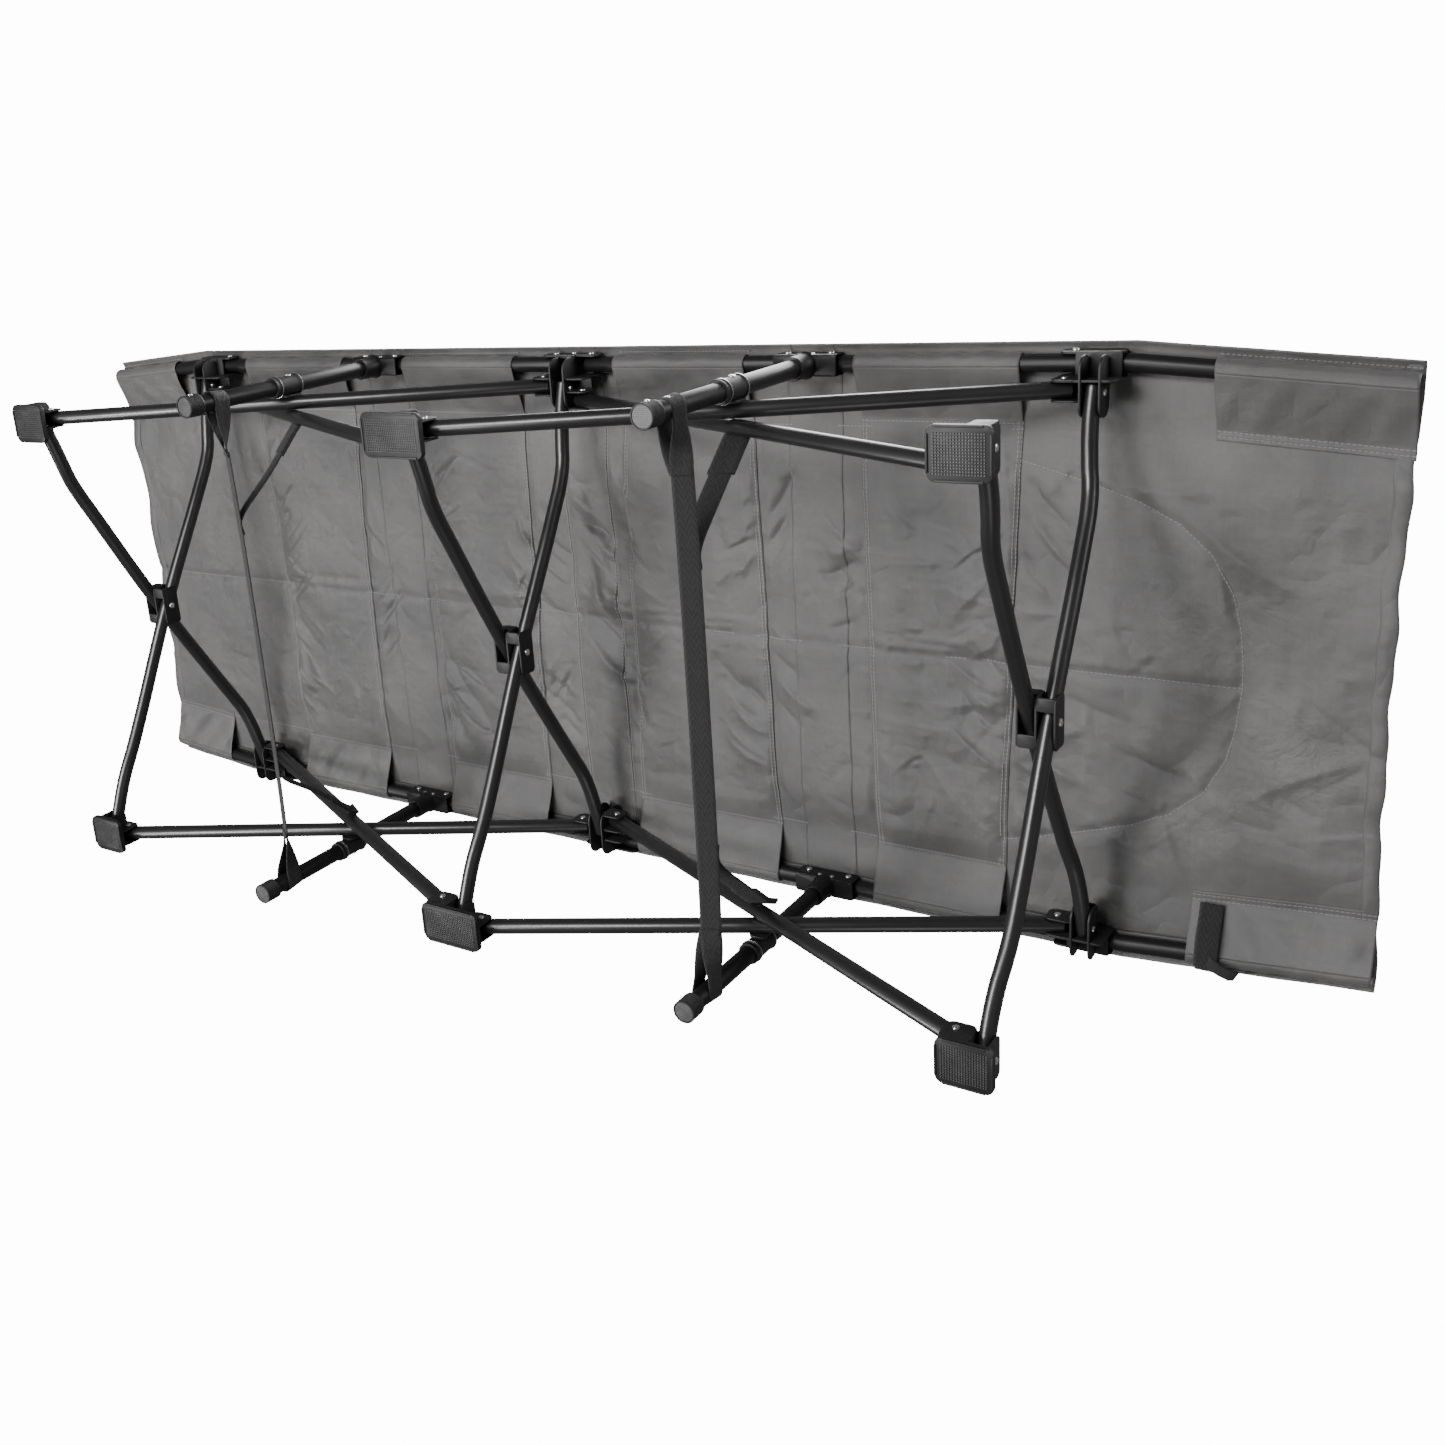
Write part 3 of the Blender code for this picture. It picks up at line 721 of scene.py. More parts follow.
def build_shoe(place, braces, centre, half, side, sign):
    """A rimmed pad with a grid of grip studs, below walls that hold the tubes."""
    suffix = f"{place}_{side}"
    piece, rivets = pair("foot_shoe", "rivets_shoe", suffix, STATION[place], sign)
    y0, y1 = SHOE_Y
    corner, rim, rim_top = 0.008, 0.0024, 0.003
    piece.box((centre - half, y0, 0.0012), (centre + half, y1, 0.0082), 2, 0.0085,
              0.0008)
    for way, edge in ((-1, y0), (1, y1)):
        piece.box((centre + way * half, y0 + corner, 0.0),
                  (centre + way * (half - rim), y1 - corner, rim_top), 2, 0.001)
        piece.box((centre - half + corner, edge, 0.0),
                  (centre + half - corner, edge - way * rim, rim_top), 2, 0.001)
    studs = Piece(f"grip_studs_{suffix}", STATION[place], sign)
    pitch, border = 0.0028, 0.010
    columns = int((2 * half - border) / pitch)
    rows = int((y1 - y0 - border) / pitch)
    for i in range(columns):
        for j in range(rows):
            studs.stud(centre + (i - (columns - 1) / 2) * pitch,
                       (y0 + y1) / 2 + (j - (rows - 1) / 2) * pitch,
                       0.0008, 0.00135, 0.0014)
    top = LOW_Z + 0.0125
    leg_slot(piece, rivets, 0.2855, 0.3325, LOW_Z, 0.004, top, 0.007)
    piece.box((-0.0110, 0.3300, 0.004), (0.0110, 0.3328, top - 0.001), 1, 0.004)
    for towards, y in braces:
        pocket(piece, rivets, y, towards, LOW_Z, 0.0055, top - 0.0003)
        piece.box((towards * 0.0105, y - 0.010, 0.006),
                  (towards * 0.0150, y + 0.010, 0.0155))
    # the studs take the pale plastic, a painted highlight on their tops
    studs.finish("worn_black_plastic", f"shoe_{suffix}")
    finish_pair(piece, rivets, f"shoe_{suffix}")


def build_hub(place):
    """Two side-by-side channels that the crossed legs turn in."""
    piece, rivets = pair("crossing_hub", "rivets_hub", place, STATION[place])
    for centre in HUB_WALLS:
        piece.box((centre - 0.0012, -0.0285, MIDDLE_Z - 0.0135),
                  (centre + 0.0012, 0.0285, MIDDLE_Z + 0.0135), 0, 0.005)
    for way in (-1, 1):
        for y0, z0 in ((way * 0.0135, MIDDLE_Z + 0.0100),
                       (-way * 0.0135, MIDDLE_Z - 0.0135)):
            piece.box((0, y0, z0), (way * 0.0195, y0 * 2.09, z0 + 0.0035), 2, 0.003)
        piece.box((0, way * 0.0265, MIDDLE_Z - 0.004),
                  (way * 0.0195, way * 0.0285, MIDDLE_Z + 0.0125), 1, 0.003)
        rivets.rivet((way * 0.0209, 0, MIDDLE_Z), (way, 0, 0), 0.0046, 0.0024)
    finish_pair(piece, rivets, f"hub_{place}")


def build_hinge(bay, side, sign):
    """A U channel over the post that joins two rails."""
    name = f"{bay}_{side}"
    piece, rivets = pair("rail_hinge", "rivets_hinge", name, POST_X[bay], sign)
    half, floor = 0.0405, RAIL_Z - 0.0160
    piece.box((-half, 0.3236, floor), (half, 0.3484, RAIL_Z - 0.0132), 2, 0.003)
    bore = POST_R + 0.0002
    socket = [(bore, -0.046), (0.0136, -0.046), (0.0142, -0.0452), (0.0142, -0.019),
              (0.0165, -0.015), (bore, -0.015), (bore, -0.046)]
    piece.add(turned(socket), (0, RAIL_Y, RAIL_Z))
    for inside, face, facing in HINGE_PLATES:
        piece.box((-half, inside, floor), (half, face, RAIL_Z + 0.0092), 1, 0.005)
        for towards in (-1, 1):
            rivets.rivet((towards * RAIL_OFFSET, face, RAIL_Z), (0, facing, 0))
            rivets.rivet((towards * 0.0085, face, RAIL_Z - 0.0085), (0, facing, 0),
                         0.0030, 0.0015)
    finish_pair(piece, rivets, f"post_{name}", f"hinge_{name}", "matt_black_paint",
                "black_plastic")


def build_collar(bay, side, sign):
    """A sleeve that slides on the post, with two steel hoops and a lug."""
    name, x = f"{bay}_{side}", POST_X[bay]
    piece, rings = pair("sliding_collar", "collar_rings", name, x, sign)
    profile = [(BORE_R, 0.150), (0.0130, 0.150), (0.0138, 0.1508), (0.0138, 0.1535),
               (0.0130, 0.1550), (0.0130, 0.1565), (0.0143, 0.1575), (0.0143, 0.1600),
               (0.0130, 0.1612), (0.0130, 0.1925), (0.0143, 0.1935), (0.0143, 0.1965),
               (0.0132, 0.1980), (BORE_R, 0.1980), (BORE_R, 0.150)]
    piece.add(turned(profile, 40), (0, RAIL_Y, 0))
    piece.box((-0.011, 0.3212, 0.1690), (0.011, 0.3246, 0.1970), 1, 0.007)
    hoop = [(0.0141, -0.0005), (0.0146, -0.0004), (0.0146, 0.0004), (0.0141, 0.0005),
            (0.0141, -0.0005)]
    for z in (0.1588, 0.1950):
        rings.add(turned(hoop, 40), (0, RAIL_Y, z))
    rings.rivet((0, RAIL_Y + 0.0128, 0.1830), (0, 1, 0), height=0.0019)
    finish_pair(piece, rings, f"collar_{name}")
    pins = Piece(f"crossing_rivet_{name}", x, sign)
    pins.rivet((0, INNER_BRACE_Y - 0.0077, MIDDLE_Z), (0, -1, 0))
    pins.finish("bright_rivet_steel", f"brace_inner_{name}")


def build_cap(bay, side, sign):
    """The post's foot: a ribbed cup with a cross-hatched sole."""
    name, x = f"{bay}_{side}", POST_X[bay]
    piece, rivets = pair("post_foot", "rivets_post", name, x, sign)
    profile = [(0, 0.0012), (0.0118, 0.0012), (0.0122, 0.0), (0.0134, 0.0),
               (0.0140, 0.0008)]
    for rib in range(6):
        z = 0.0030 + rib * 0.0032
        profile += [(0.0140, z), (0.0134, z + 0.0006), (0.0134, z + 0.0012),
                    (0.0140, z + 0.0018)]
    profile += [(0.0136, 0.0235), (BORE_R, 0.0240), (BORE_R, 0.0057), (0, 0.0057)]
    piece.add(turned(profile), (0, RAIL_Y, 0))
    sole = Piece(f"post_sole_{name}", x, sign)
    sole.add(turned([(0, 0.0009), (0.0116, 0.0009), (0.0116, 0.0013), (0, 0.0013)]),
             (0, RAIL_Y, 0))
    pitch, reach = 0.0021, 0.0112
    for i in range(-5, 6):
        for j in range(-5, 6):
            if math.hypot(i, j) * pitch < reach:
                sole.stud(i * pitch, RAIL_Y + j * pitch, 0.0006, 0.00095, 0.0012)
    rivets.rivet((0, RAIL_Y + 0.0136, 0.0125), (0, 1, 0), 0.0032, 0.0016)
    rivets.rivet((0, RAIL_Y + POST_R, 0.0500), (0, 1, 0), 0.0036, 0.0017)
    # the sole's studs take the pale plastic, a painted highlight on their tops
    sole.finish("worn_black_plastic", f"post_{name}")
    finish_pair(piece, rivets, f"post_{name}", f"post_cap_{name}", "ribbed_black_rubber")


# ---- fabric ------------------------------------------------------------------------
def seam_x(seam, y):
    """A cross seam's position at y, from its ends on the right and on the left."""
    return lerp(seam[0], seam[1], (np.asarray(y, float) + SEAM_Y) / (2 * SEAM_Y))


def cell_noise(draw, xs, ys, cell):
    """Smooth random heights between -1 and 1 on a grid, about one bump per cell."""
    columns = int((xs[-1] - xs[0]) / cell) + 3
    rows = int((ys[-1] - ys[0]) / cell) + 3
    knots = np.array([[draw.uniform(-1, 1) for _ in range(rows)] for _ in range(columns)])

    def blend(values, at):
        at = (at - at[0]) / cell
        low = at.astype(int)
        t = (at - low)[:, None]
        t = t * t * (3 - 2 * t)
        return values[low] * (1 - t) + values[low + 1] * t
    return blend(blend(knots, xs).T, ys).T


def edge_distance(x, y, line):
    """Distance from every (x, y) to a line of points."""
    nearest = np.full(x.shape, 9.0)
    for (x0, y0), (x1, y1) in zip(line, line[1:]):
        dx, dy = x1 - x0, y1 - y0
        t = np.clip(((x - x0) * dx + (y - y0) * dy) / (dx * dx + dy * dy), 0, 1)
        nearest = np.minimum(nearest, np.hypot(x - x0 - t * dx, y - y0 - t * dy))
    return nearest


class Drape:
    """Height of the deck's fabric above its flat plane, the same for every layer."""

    STEP = 0.0015

    def __init__(self, seed):
        draw = random.Random(seed)
        self.xs = np.arange(DECK_LOW - 0.012, DECK_HIGH + 0.012, self.STEP)
        self.ys = np.arange(-0.345, 0.345, self.STEP)
        x, y = np.meshgrid(self.xs, self.ys, indexing="ij")
        field = LEVEL + 0.0030 * cell_noise(draw, self.xs, self.ys, 0.150)
        field += 0.0015 * cell_noise(draw, self.xs, self.ys, 0.062)
        ridges = np.abs(cell_noise(draw, self.xs, self.ys, 0.034))
        field += 0.0011 * (1 - ridges) * cell_noise(draw, self.xs, self.ys, 0.085)
        field += 0.0005 * np.abs(cell_noise(draw, self.xs, self.ys, 0.014))
        for crease in self.creases(draw):
            self.press(field, *crease)
        outline = lay_outline()
        for away, along in [
                *((np.abs(x - seam_x(seam, y)), y) for seam in SEAMS),
                (np.abs(y - CENTRE_SEAM) + 9.0 * (x > LAY_END["head"]), x),
                (edge_distance(x, y, outline), x + y)]:
            close = np.exp(-away / 0.014)
            ripple = np.sin(along * 2 * math.pi / 0.023 + 5 * np.sin(along * 17))
            ripple = ripple * np.sin(along * 57 + 2)
            field += 0.0021 * np.exp(-(away / 0.0062) ** 2) + 0.00042 * ripple * close
        rim = np.clip((0.272 - np.abs(y)) / 0.075, 0, 1)
        field *= rim * rim * (3 - 2 * rim)
        ends = np.clip(np.minimum(x - DECK_LOW, DECK_HIGH - x) / 0.06, 0, 1)
        field += (1 - ends) * 0.0026 * np.sin(y * 41 + 1.0) * np.clip(
            (0.30 - np.abs(y)) / 0.06, 0, 1)
        self.field = field

    def creases(self, draw):
        """Place, direction, length, width and height of every crease."""
        made = []
        for seam in SEAMS:
            for _ in range(draw.choice((2, 3, 3))):
                lean = math.radians(draw.choice((1, 1, -1)) * draw.uniform(32, 62))
                start, gap = draw.uniform(-0.22, 0.12), draw.uniform(0.020, 0.034)
                way = draw.choice((1, 1, -1))
                for fold in range(draw.randint(3, 6)):
                    length = draw.uniform(0.028, 0.062)
                    angle = lean + draw.gauss(0, 0.10)
                    y = start + fold * gap + draw.gauss(0, 0.004)
                    x = float(seam_x(seam, y)) + way * length * 1.05 * math.cos(angle)
                    made.append((x, y + length * math.sin(angle), angle, length,
                                 draw.uniform(0.0034, 0.0060),
                                 draw.choice((-1, 1)) * draw.uniform(0.0040, 0.0070)))
        for _ in range(260):
            made.append((draw.uniform(DECK_LOW, DECK_HIGH), draw.uniform(-0.27, 0.27),
                         draw.gauss(math.radians(draw.choice((40, -40, 65, 5))), 0.4),
                         draw.uniform(0.010, 0.040), draw.uniform(0.0018, 0.0036),
                         draw.choice((-1, 1)) * draw.uniform(0.0007, 0.0022)))
        for _ in range(34):
            made.append((draw.uniform(0.30, DECK_HIGH), draw.uniform(-0.27, 0.27),
                         draw.uniform(0, math.pi), draw.uniform(0.040, 0.100),
                         draw.uniform(0.0050, 0.0090),
                         draw.choice((-1, 1)) * draw.uniform(0.0022, 0.0042)))
        return made

    def press(self, field, cx, cy, angle, length, width, size):
        """Adds a crease: steep on one side, easing off on the other, slightly bent."""
        reach = length * 1.1 + 0.02
        i0, i1 = np.searchsorted(self.xs, (cx - reach, cx + reach))
        j0, j1 = np.searchsorted(self.ys, (cy - reach, cy + reach))
        if i0 == i1 or j0 == j1:
            return
        dx, dy = self.xs[i0:i1, None] - cx, self.ys[None, j0:j1] - cy
        far = (dx * math.cos(angle) + dy * math.sin(angle)) / length
        off = dy * math.cos(angle) - dx * math.sin(angle) + 0.10 * length * far * far
        fade = np.clip(1 - far * far, 0, 1)
        slope = np.where(off < 0, np.exp(off / width), np.exp(-off / (3.2 * width)))
        field[i0:i1, j0:j1] += size * fade * fade * slope

    def __call__(self, x, y):
        x, y = np.broadcast_arrays(np.asarray(x, float), np.asarray(y, float))
        at = np.clip((x - self.xs[0]) / self.STEP, 0, len(self.xs) - 1.001)
        up = np.clip((y - self.ys[0]) / self.STEP, 0, len(self.ys) - 1.001)
        i, j = at.astype(int), up.astype(int)
        s, t = at - i, up - j
        f = self.field
        return ((f[i, j] * (1 - t) + f[i, j + 1] * t) * (1 - s)
                + (f[i + 1, j] * (1 - t) + f[i + 1, j + 1] * t) * s)


def lay_outline():
    """The padded layer's outline as one line of points round the head end."""
    right = [(LAY_END["foot"], LAY_HALF), (0.300, LAY_HALF), *LAY_SHAPE[1:]]
    return right + [(x, -y) for x, y in reversed(right)]


def gridded(name, columns, rows, place, body, replaces=(), squash=False,
            thickness=CLOTH, offset=-1.0, uv=None, look="grey_woven_polyester"):
    """A sheet: place turns grid coordinates from 0 to 1 into points."""
    bm = bmesh.new()
    bmesh.ops.create_grid(bm, x_segments=columns, y_segments=rows, size=0.5)
    mesh = bpy.data.meshes.new(name)
    bm.to_mesh(mesh)
    bm.free()
    flat = np.empty(len(mesh.vertices) * 3)
    mesh.vertices.foreach_get("co", flat)
    u, v = flat.reshape(-1, 3)[:, 0] + 0.5, flat.reshape(-1, 3)[:, 1] + 0.5
    points = np.stack(np.broadcast_arrays(*place(u, v)), axis=1)
    mesh.vertices.foreach_set("co", points.ravel())
    if uv is not None:
        layer = mesh.uv_layers.new(name="UVMap")
        corner = np.empty(len(mesh.loops), dtype=np.int64)
        mesh.loops.foreach_get("vertex_index", corner)
        pairs = np.stack(np.broadcast_arrays(*uv(u, v)), axis=1)[corner]
        layer.data.foreach_set("uv", pairs.ravel())
    mesh.update()
    obj = finished(name, mesh, look, body, replaces, sharp=60.0)
    if thickness:
        wall = obj.modifiers.new("Thickness", "SOLIDIFY")
        wall.thickness = thickness
        wall.offset = offset
    if squash:
        folding(obj)
    return obj


def lerp(a, b, t):
    return a + (b - a) * t


def pulled_short(x, y):
    """How far the deck's ends are drawn in between the corners, with small waves."""
    close = np.clip(1 - np.minimum(x - DECK_LOW, DECK_HIGH - x) / 0.09, 0, 1)
    arc = 0.0065 * np.clip(1 - (y / 0.30) ** 2, 0, 1)
    waves = 0.0012 * np.sin(y * 47 + 1) + 0.0008 * np.sin(y * 101)
    return np.sign(x) * close * (arc + waves * np.clip((0.31 - np.abs(y)) / 0.05, 0, 1))


def steps(length, pitch):
    return max(2, int(round(length / pitch)))


def build_panels(drape, pitch):
    """The deck between the rails, in the pieces that fold."""
    for name, (x0, x1, body) in PANELS.items():
        def place(u, v, x0=x0, x1=x1):
            x = lerp(x0, x1, u)
            y = (2 * v - 1) * (INNER_EDGE - pulled_in(x))
            return x - pulled_short(x, y), y, DECK_Z + CLOTH + drape(x, y)
        panel = gridded(f"deck_panel_{name}", steps(x1 - x0, pitch),
                        steps(2 * INNER_EDGE, pitch), place, body,
                        [f"deck_{name}"], squash=True)
        round(x1 - x0, 3)
    for name, (middle, body) in BRIDGES.items():
        def place(u, v, middle=middle):
            x = middle + (2 * u - 1) * BRIDGE
            y = (2 * v - 1) * (INNER_EDGE - pulled_in(x))
            return x, y, DECK_Z + CLOTH + 0.0003 + drape(x, y)
        strip = gridded(f"deck_strip_{name}", steps(2 * BRIDGE, pitch),
                        steps(2 * INNER_EDGE, pitch), place, body, squash=True,
                        thickness=0.0016)


def build_edges(pitch):
    """The deck's edge over each rail: flat on top, drooping outside it."""
    parts = dict(PANELS)
    for name, (middle, body) in BRIDGES.items():
        parts[name] = (middle - RAIL_OFFSET, middle + RAIL_OFFSET, body)
    for name, (x0, x1, body) in parts.items():
        for side, sign in SIDE.items():
            def place(u, v, x0=x0, x1=x1, sign=sign):
                x = lerp(x0, x1, u)
                v = np.where(sign > 0, v, 1 - v)
                y = lerp(INNER_EDGE, OUTER_EDGE, v)
                lip = np.clip((y - RAIL_Y - 0.0150) / 0.0075, 0, 1) ** 1.5
                z = DECK_Z + CLOTH - (0.0042 + 0.0006 * np.sin(x * 61)) * lip
                return x, sign * (y - pulled_in(x)), z
            gridded(f"deck_edge_{name}_{side}", steps(x1 - x0, pitch), 12, place,
                    body.replace("right", side))


def sleeve_section(v):
    """The path round the rail from the deck's top to below it: offsets y and z."""
    angle = np.radians(lerp(78, -104, v))
    radius = RAIL_R + 0.0016
    return radius * np.cos(angle), radius * np.sin(angle)


def build_sleeves(drape, pitch):
    """Bands across the underside whose ends wrap the rails, and end flaps."""
    every = {**{f"band_{k}": v for k, v in BANDS.items()},
             **{f"end_{k}": v for k, v in END_SLEEVES.items()}}
    for name, (left, right, rail) in every.items():
        draw = random.Random(name)
        for side, sign in SIDE.items():
            x0, x1 = left if sign > 0 else right
            waves = [(draw.uniform(60, 190), draw.uniform(0, 6), draw.uniform(0.2, 0.7))
                     for _ in range(5)]

            def place(u, v, x0=x0, x1=x1, sign=sign, waves=waves):
                x = lerp(x0, x1, u)
                v = np.where(sign > 0, v, 1 - v)
                dy, dz = sleeve_section(v)
                ripple = sum(a * np.sin(k * x + p + 2 * v) for k, p, a in waves)
                puff = 1 + 0.045 * ripple * np.sin(np.pi * np.clip(v, 0, 1))
                return x, sign * (RAIL_Y - pulled_in(x) + dy * puff), RAIL_Z + dz * puff
            gridded(f"sleeve_{name}_{side}", steps(x1 - x0, pitch), 24, place,
                    f"{rail}_{side}", thickness=0.0008)
        build_flaps(drape, pitch, name, left, right, rail)


def flap_height(drape, x, y, waves, inner=0.0):
    """Underside of a flap: from below the rail up to its seam on the deck."""
    low = RAIL_Z - 0.0113
    share = np.clip((np.abs(y) - SEAM_Y + pulled_in(x)) / (FLAP_EDGE - SEAM_Y), 0, 1)
    inside = np.clip((SEAM_Y - np.abs(y)) / 0.03, 0, 1) * inner
    folds = np.abs(drape(x, -y) - LEVEL) * inside
    base = DECK_Z - 0.0009 + drape(x, y) - np.minimum(folds, 0.004)
    slack = 0.0026 * np.sin(np.pi * share)
    slack = slack * (0.55 + 0.45 * sum(
        a * np.sin(k * x + p + q * share) for k, p, q, a in waves))
    return lerp(base, low, share ** 1.08) - slack


def build_flaps(drape, pitch, name, left, right, rail):
    """One flap from sleeve to sleeve, or at the bed's ends one on each side."""
    draw = random.Random(name + "flap")
    waves = [(draw.uniform(50, 170), draw.uniform(0, 6), draw.uniform(-6, 6),
              draw.uniform(0.2, 0.6)) for _ in range(6)]
    width = (left[1] - left[0] + right[1] - right[0]) / 2
    fine = 0.72 * pitch

    def across(u, v):
        x = lerp(lerp(right[0], left[0], v), lerp(right[1], left[1], v), u)
        y = (2 * v - 1) * (FLAP_EDGE - pulled_in(x))
        inner = np.clip(np.minimum(u, 1 - u) / 0.14, 0, 1)
        return x, y, flap_height(drape, x, y, waves, inner)

    def from_seam(sign, ends):
        def place(u, v):
            x = lerp(ends[0], ends[1], u)
            v = np.where(sign > 0, v, 1 - v)
            y = sign * (lerp(SEAM_Y - FLAP_SEAM, FLAP_EDGE, v) - pulled_in(x))
            return x, y, flap_height(drape, x, y, waves)
        return place

    flaps = [("", 2 * RAIL_Y, across, SIDE)]
    if name.startswith("end"):
        length = RAIL_Y - SEAM_Y + FLAP_SEAM
        flaps = [("_right", length, from_seam(-1, right), ["right"]),
                 ("_left", length, from_seam(1, left), ["left"])]
    for suffix, length, place, sides in flaps:
        piece = gridded(f"{name}_flap{suffix}", steps(width, fine), steps(length, fine),
                        place, f"{rail}_right", squash=True, thickness=0.0007,
                        offset=1.0)


def build_lay(drape, pitch):
    """The padded layer on top, quilted along the cross seams and the centre seam."""
    parts = dict(PANELS)
    parts["foot"] = (LAY_END["foot"], *PANELS["foot"][1:])
    parts["head"] = (PANELS["head"][0], LAY_END["head"], PANELS["head"][2])
    for name, (x0, x1, body) in parts.items():
        lay_piece(drape, pitch, f"padded_lay_{name}", x0, x1, body)
    for name, (middle, body) in BRIDGES.items():
        lay_piece(drape, pitch, f"padded_lay_{name}", middle - BRIDGE, middle + BRIDGE,
                  body, 0.0004)


def lay_half_width(x):
    """Half the padded layer's width: straight, then a round end at the head."""
    return np.interp(x, *zip(*LAY_SHAPE))


def lay_height(drape, x, y, base):
    half = lay_half_width(x)
    away = np.min([np.abs(x - seam_x(seam, y)) for seam in SEAMS]
                  + [np.abs(y - CENTRE_SEAM) + 0 * x,
                     np.clip(half - np.abs(y), 0, 1),
                     np.abs(x - LAY_END["foot"]), np.abs(x - LAY_END["head"])], axis=0)
    puff = 0.0075 * (1 - np.exp(-away / 0.017))
    fuss = 0.22 * (drape(x, -y) - LEVEL)
    return base + 0.0009 + puff + fuss * np.clip(away / 0.02, 0, 1)


def lay_piece(drape, pitch, name, x0, x1, body, lift=0.0):
    """Closed: a puffed upper skin over a skin that follows the deck."""
    bm = bmesh.new()
    bmesh.ops.create_grid(bm, x_segments=steps(x1 - x0, pitch),
                          y_segments=steps(2 * LAY_Y, pitch), size=0.5)
    for v in bm.verts:
        v.co.z = 1.0
    grown = bmesh.ops.extrude_face_region(bm, geom=bm.faces[:], use_keep_orig=True)
    for v in grown["geom"]:
        if isinstance(v, bmesh.types.BMVert):
            v.co.z = 0.0
    mesh = bpy.data.meshes.new(name)
    bmesh.ops.recalc_face_normals(bm, faces=bm.faces)
    bm.to_mesh(mesh)
    bm.free()
    flat = np.empty(len(mesh.vertices) * 3)
    mesh.vertices.foreach_get("co", flat)
    flat = flat.reshape(-1, 3)
    x = lerp(x0, x1, flat[:, 0] + 0.5)
    y = 2 * flat[:, 1] * lay_half_width(x)
    base = DECK_Z + CLOTH + drape(x, y) + 0.0002
    z = np.where(flat[:, 2] > 0.5, lay_height(drape, x, y, base) + lift, base)
    mesh.vertices.foreach_set("co", np.stack([x, y, z], axis=1).ravel())
    mesh.update()
    lay = finished(name, mesh, "grey_woven_polyester", body, squash=True, sharp=60.0)


def stitched(name, lines, body, height, squash=True):
    """Rows of small stitches along lines, at the given height."""
    piece = Piece(name)
    for line in lines:
        xs, ys = np.asarray(line, float).T
        run = np.concatenate([[0], np.cumsum(np.hypot(np.diff(xs), np.diff(ys)))])
        count = max(1, int(run[-1] / STITCH_PITCH))
        at = (np.arange(count) + 0.5) * run[-1] / count
        (x, y), ahead, behind = (
            (np.interp(spots, run, xs), np.interp(spots, run, ys)) for spots in
            (at, np.clip(at + 0.0005, 0, run[-1]), np.clip(at - 0.0005, 0, run[-1])))
        angles = np.arctan2(ahead[1] - behind[1], ahead[0] - behind[0])
        for *spot, angle in zip(x, y, height(x, y), angles):
            place = (Matrix.Translation(spot) @ Matrix.Rotation(angle, 4, "Z")
                     @ Matrix.Diagonal((*STITCH, 1)))
            bmesh.ops.create_cube(piece.bm, size=1.0, matrix=place)
    piece.finish("grey_sewing_thread", body, squash=squash)


def within(line, x0, x1):
    """The stretches of a line of points between two stations."""
    dense = []
    for (ax, ay), (bx, by) in zip(line, line[1:]):
        count = steps(math.hypot(bx - ax, by - ay), 0.004)
        dense += [(lerp(ax, bx, i / count), lerp(ay, by, i / count)) for i in range(count)]
    runs = [[]]
    for point in [*dense, line[-1]]:
        if x0 <= point[0] <= x1:
            runs[-1].append(point)
        elif runs[-1]:
            runs.append([])
    return [run for run in runs if len(run) > 1]


def seam_line(seam, shift, half=LAY_HALF):
    return [(float(seam_x(seam, y)) + shift, y) for y in (-half, half)]


def build_stitches(drape):
    def below(drop):
        return lambda x, y: DECK_Z - drop + drape(x, y)

    outline = lay_outline()
    for name, (x0, x1, body) in PANELS.items():
        lines = [[(max(x0, LAY_END["foot"]), CENTRE_SEAM),
                  (min(x1, LAY_END["head"]), CENTRE_SEAM)]]
        lines += within(outline, x0, x1)
        for seam in SEAMS[-2:]:
            if x0 < seam[0] < x1:
                lines += [seam_line(seam, shift) for shift in (-0.0018, 0.0018)]
        stitched(f"stitches_under_{name}", lines, body, below(0.0001))
    for name, (left, right, rail) in BANDS.items():
        lines = [seam_line((right[edge], left[edge]), inward * shift, SEAM_Y)
                 for edge, inward in ((0, 1), (1, -1)) for shift in (0.0022, 0.0062)]
        lines += [[(x, sign * (SEAM_Y - shift)) for x in ends]
                  for sign, ends in ((1, left), (-1, right)) for shift in (0.003, 0.0095)]
        lines.append([(lerp(right[0], right[1], share), CENTRE_SEAM)
                      for share in (0.02, 0.98)])
        stitched(f"stitches_band_{name}", lines, f"{rail}_right", below(0.0011))
    for name, (left, right, rail) in END_SLEEVES.items():
        lines = [[(x, sign * (SEAM_Y - shift - float(pulled_in(x))))
                  for x in np.linspace(*ends, 24)]
                 for sign, ends in ((1, left), (-1, right)) for shift in (0.0, 0.0055)]
        stitched(f"stitches_end_{name}", lines, f"{rail}_right", below(0.0012))
    for name, (left, right, rail) in {**BANDS, **END_SLEEVES}.items():
        for side, sign in SIDE.items():
            line = [(x, sign * (RAIL_Y + 0.0145 - float(pulled_in(x))))
                    for x in np.linspace(*(left if sign > 0 else right), 20)]
            stitched(f"stitches_edge_{name}_{rail}_{side}", [line], f"{rail}_{side}",
                     lambda x, y: DECK_Z - 0.0018 + 0 * x, squash=False)


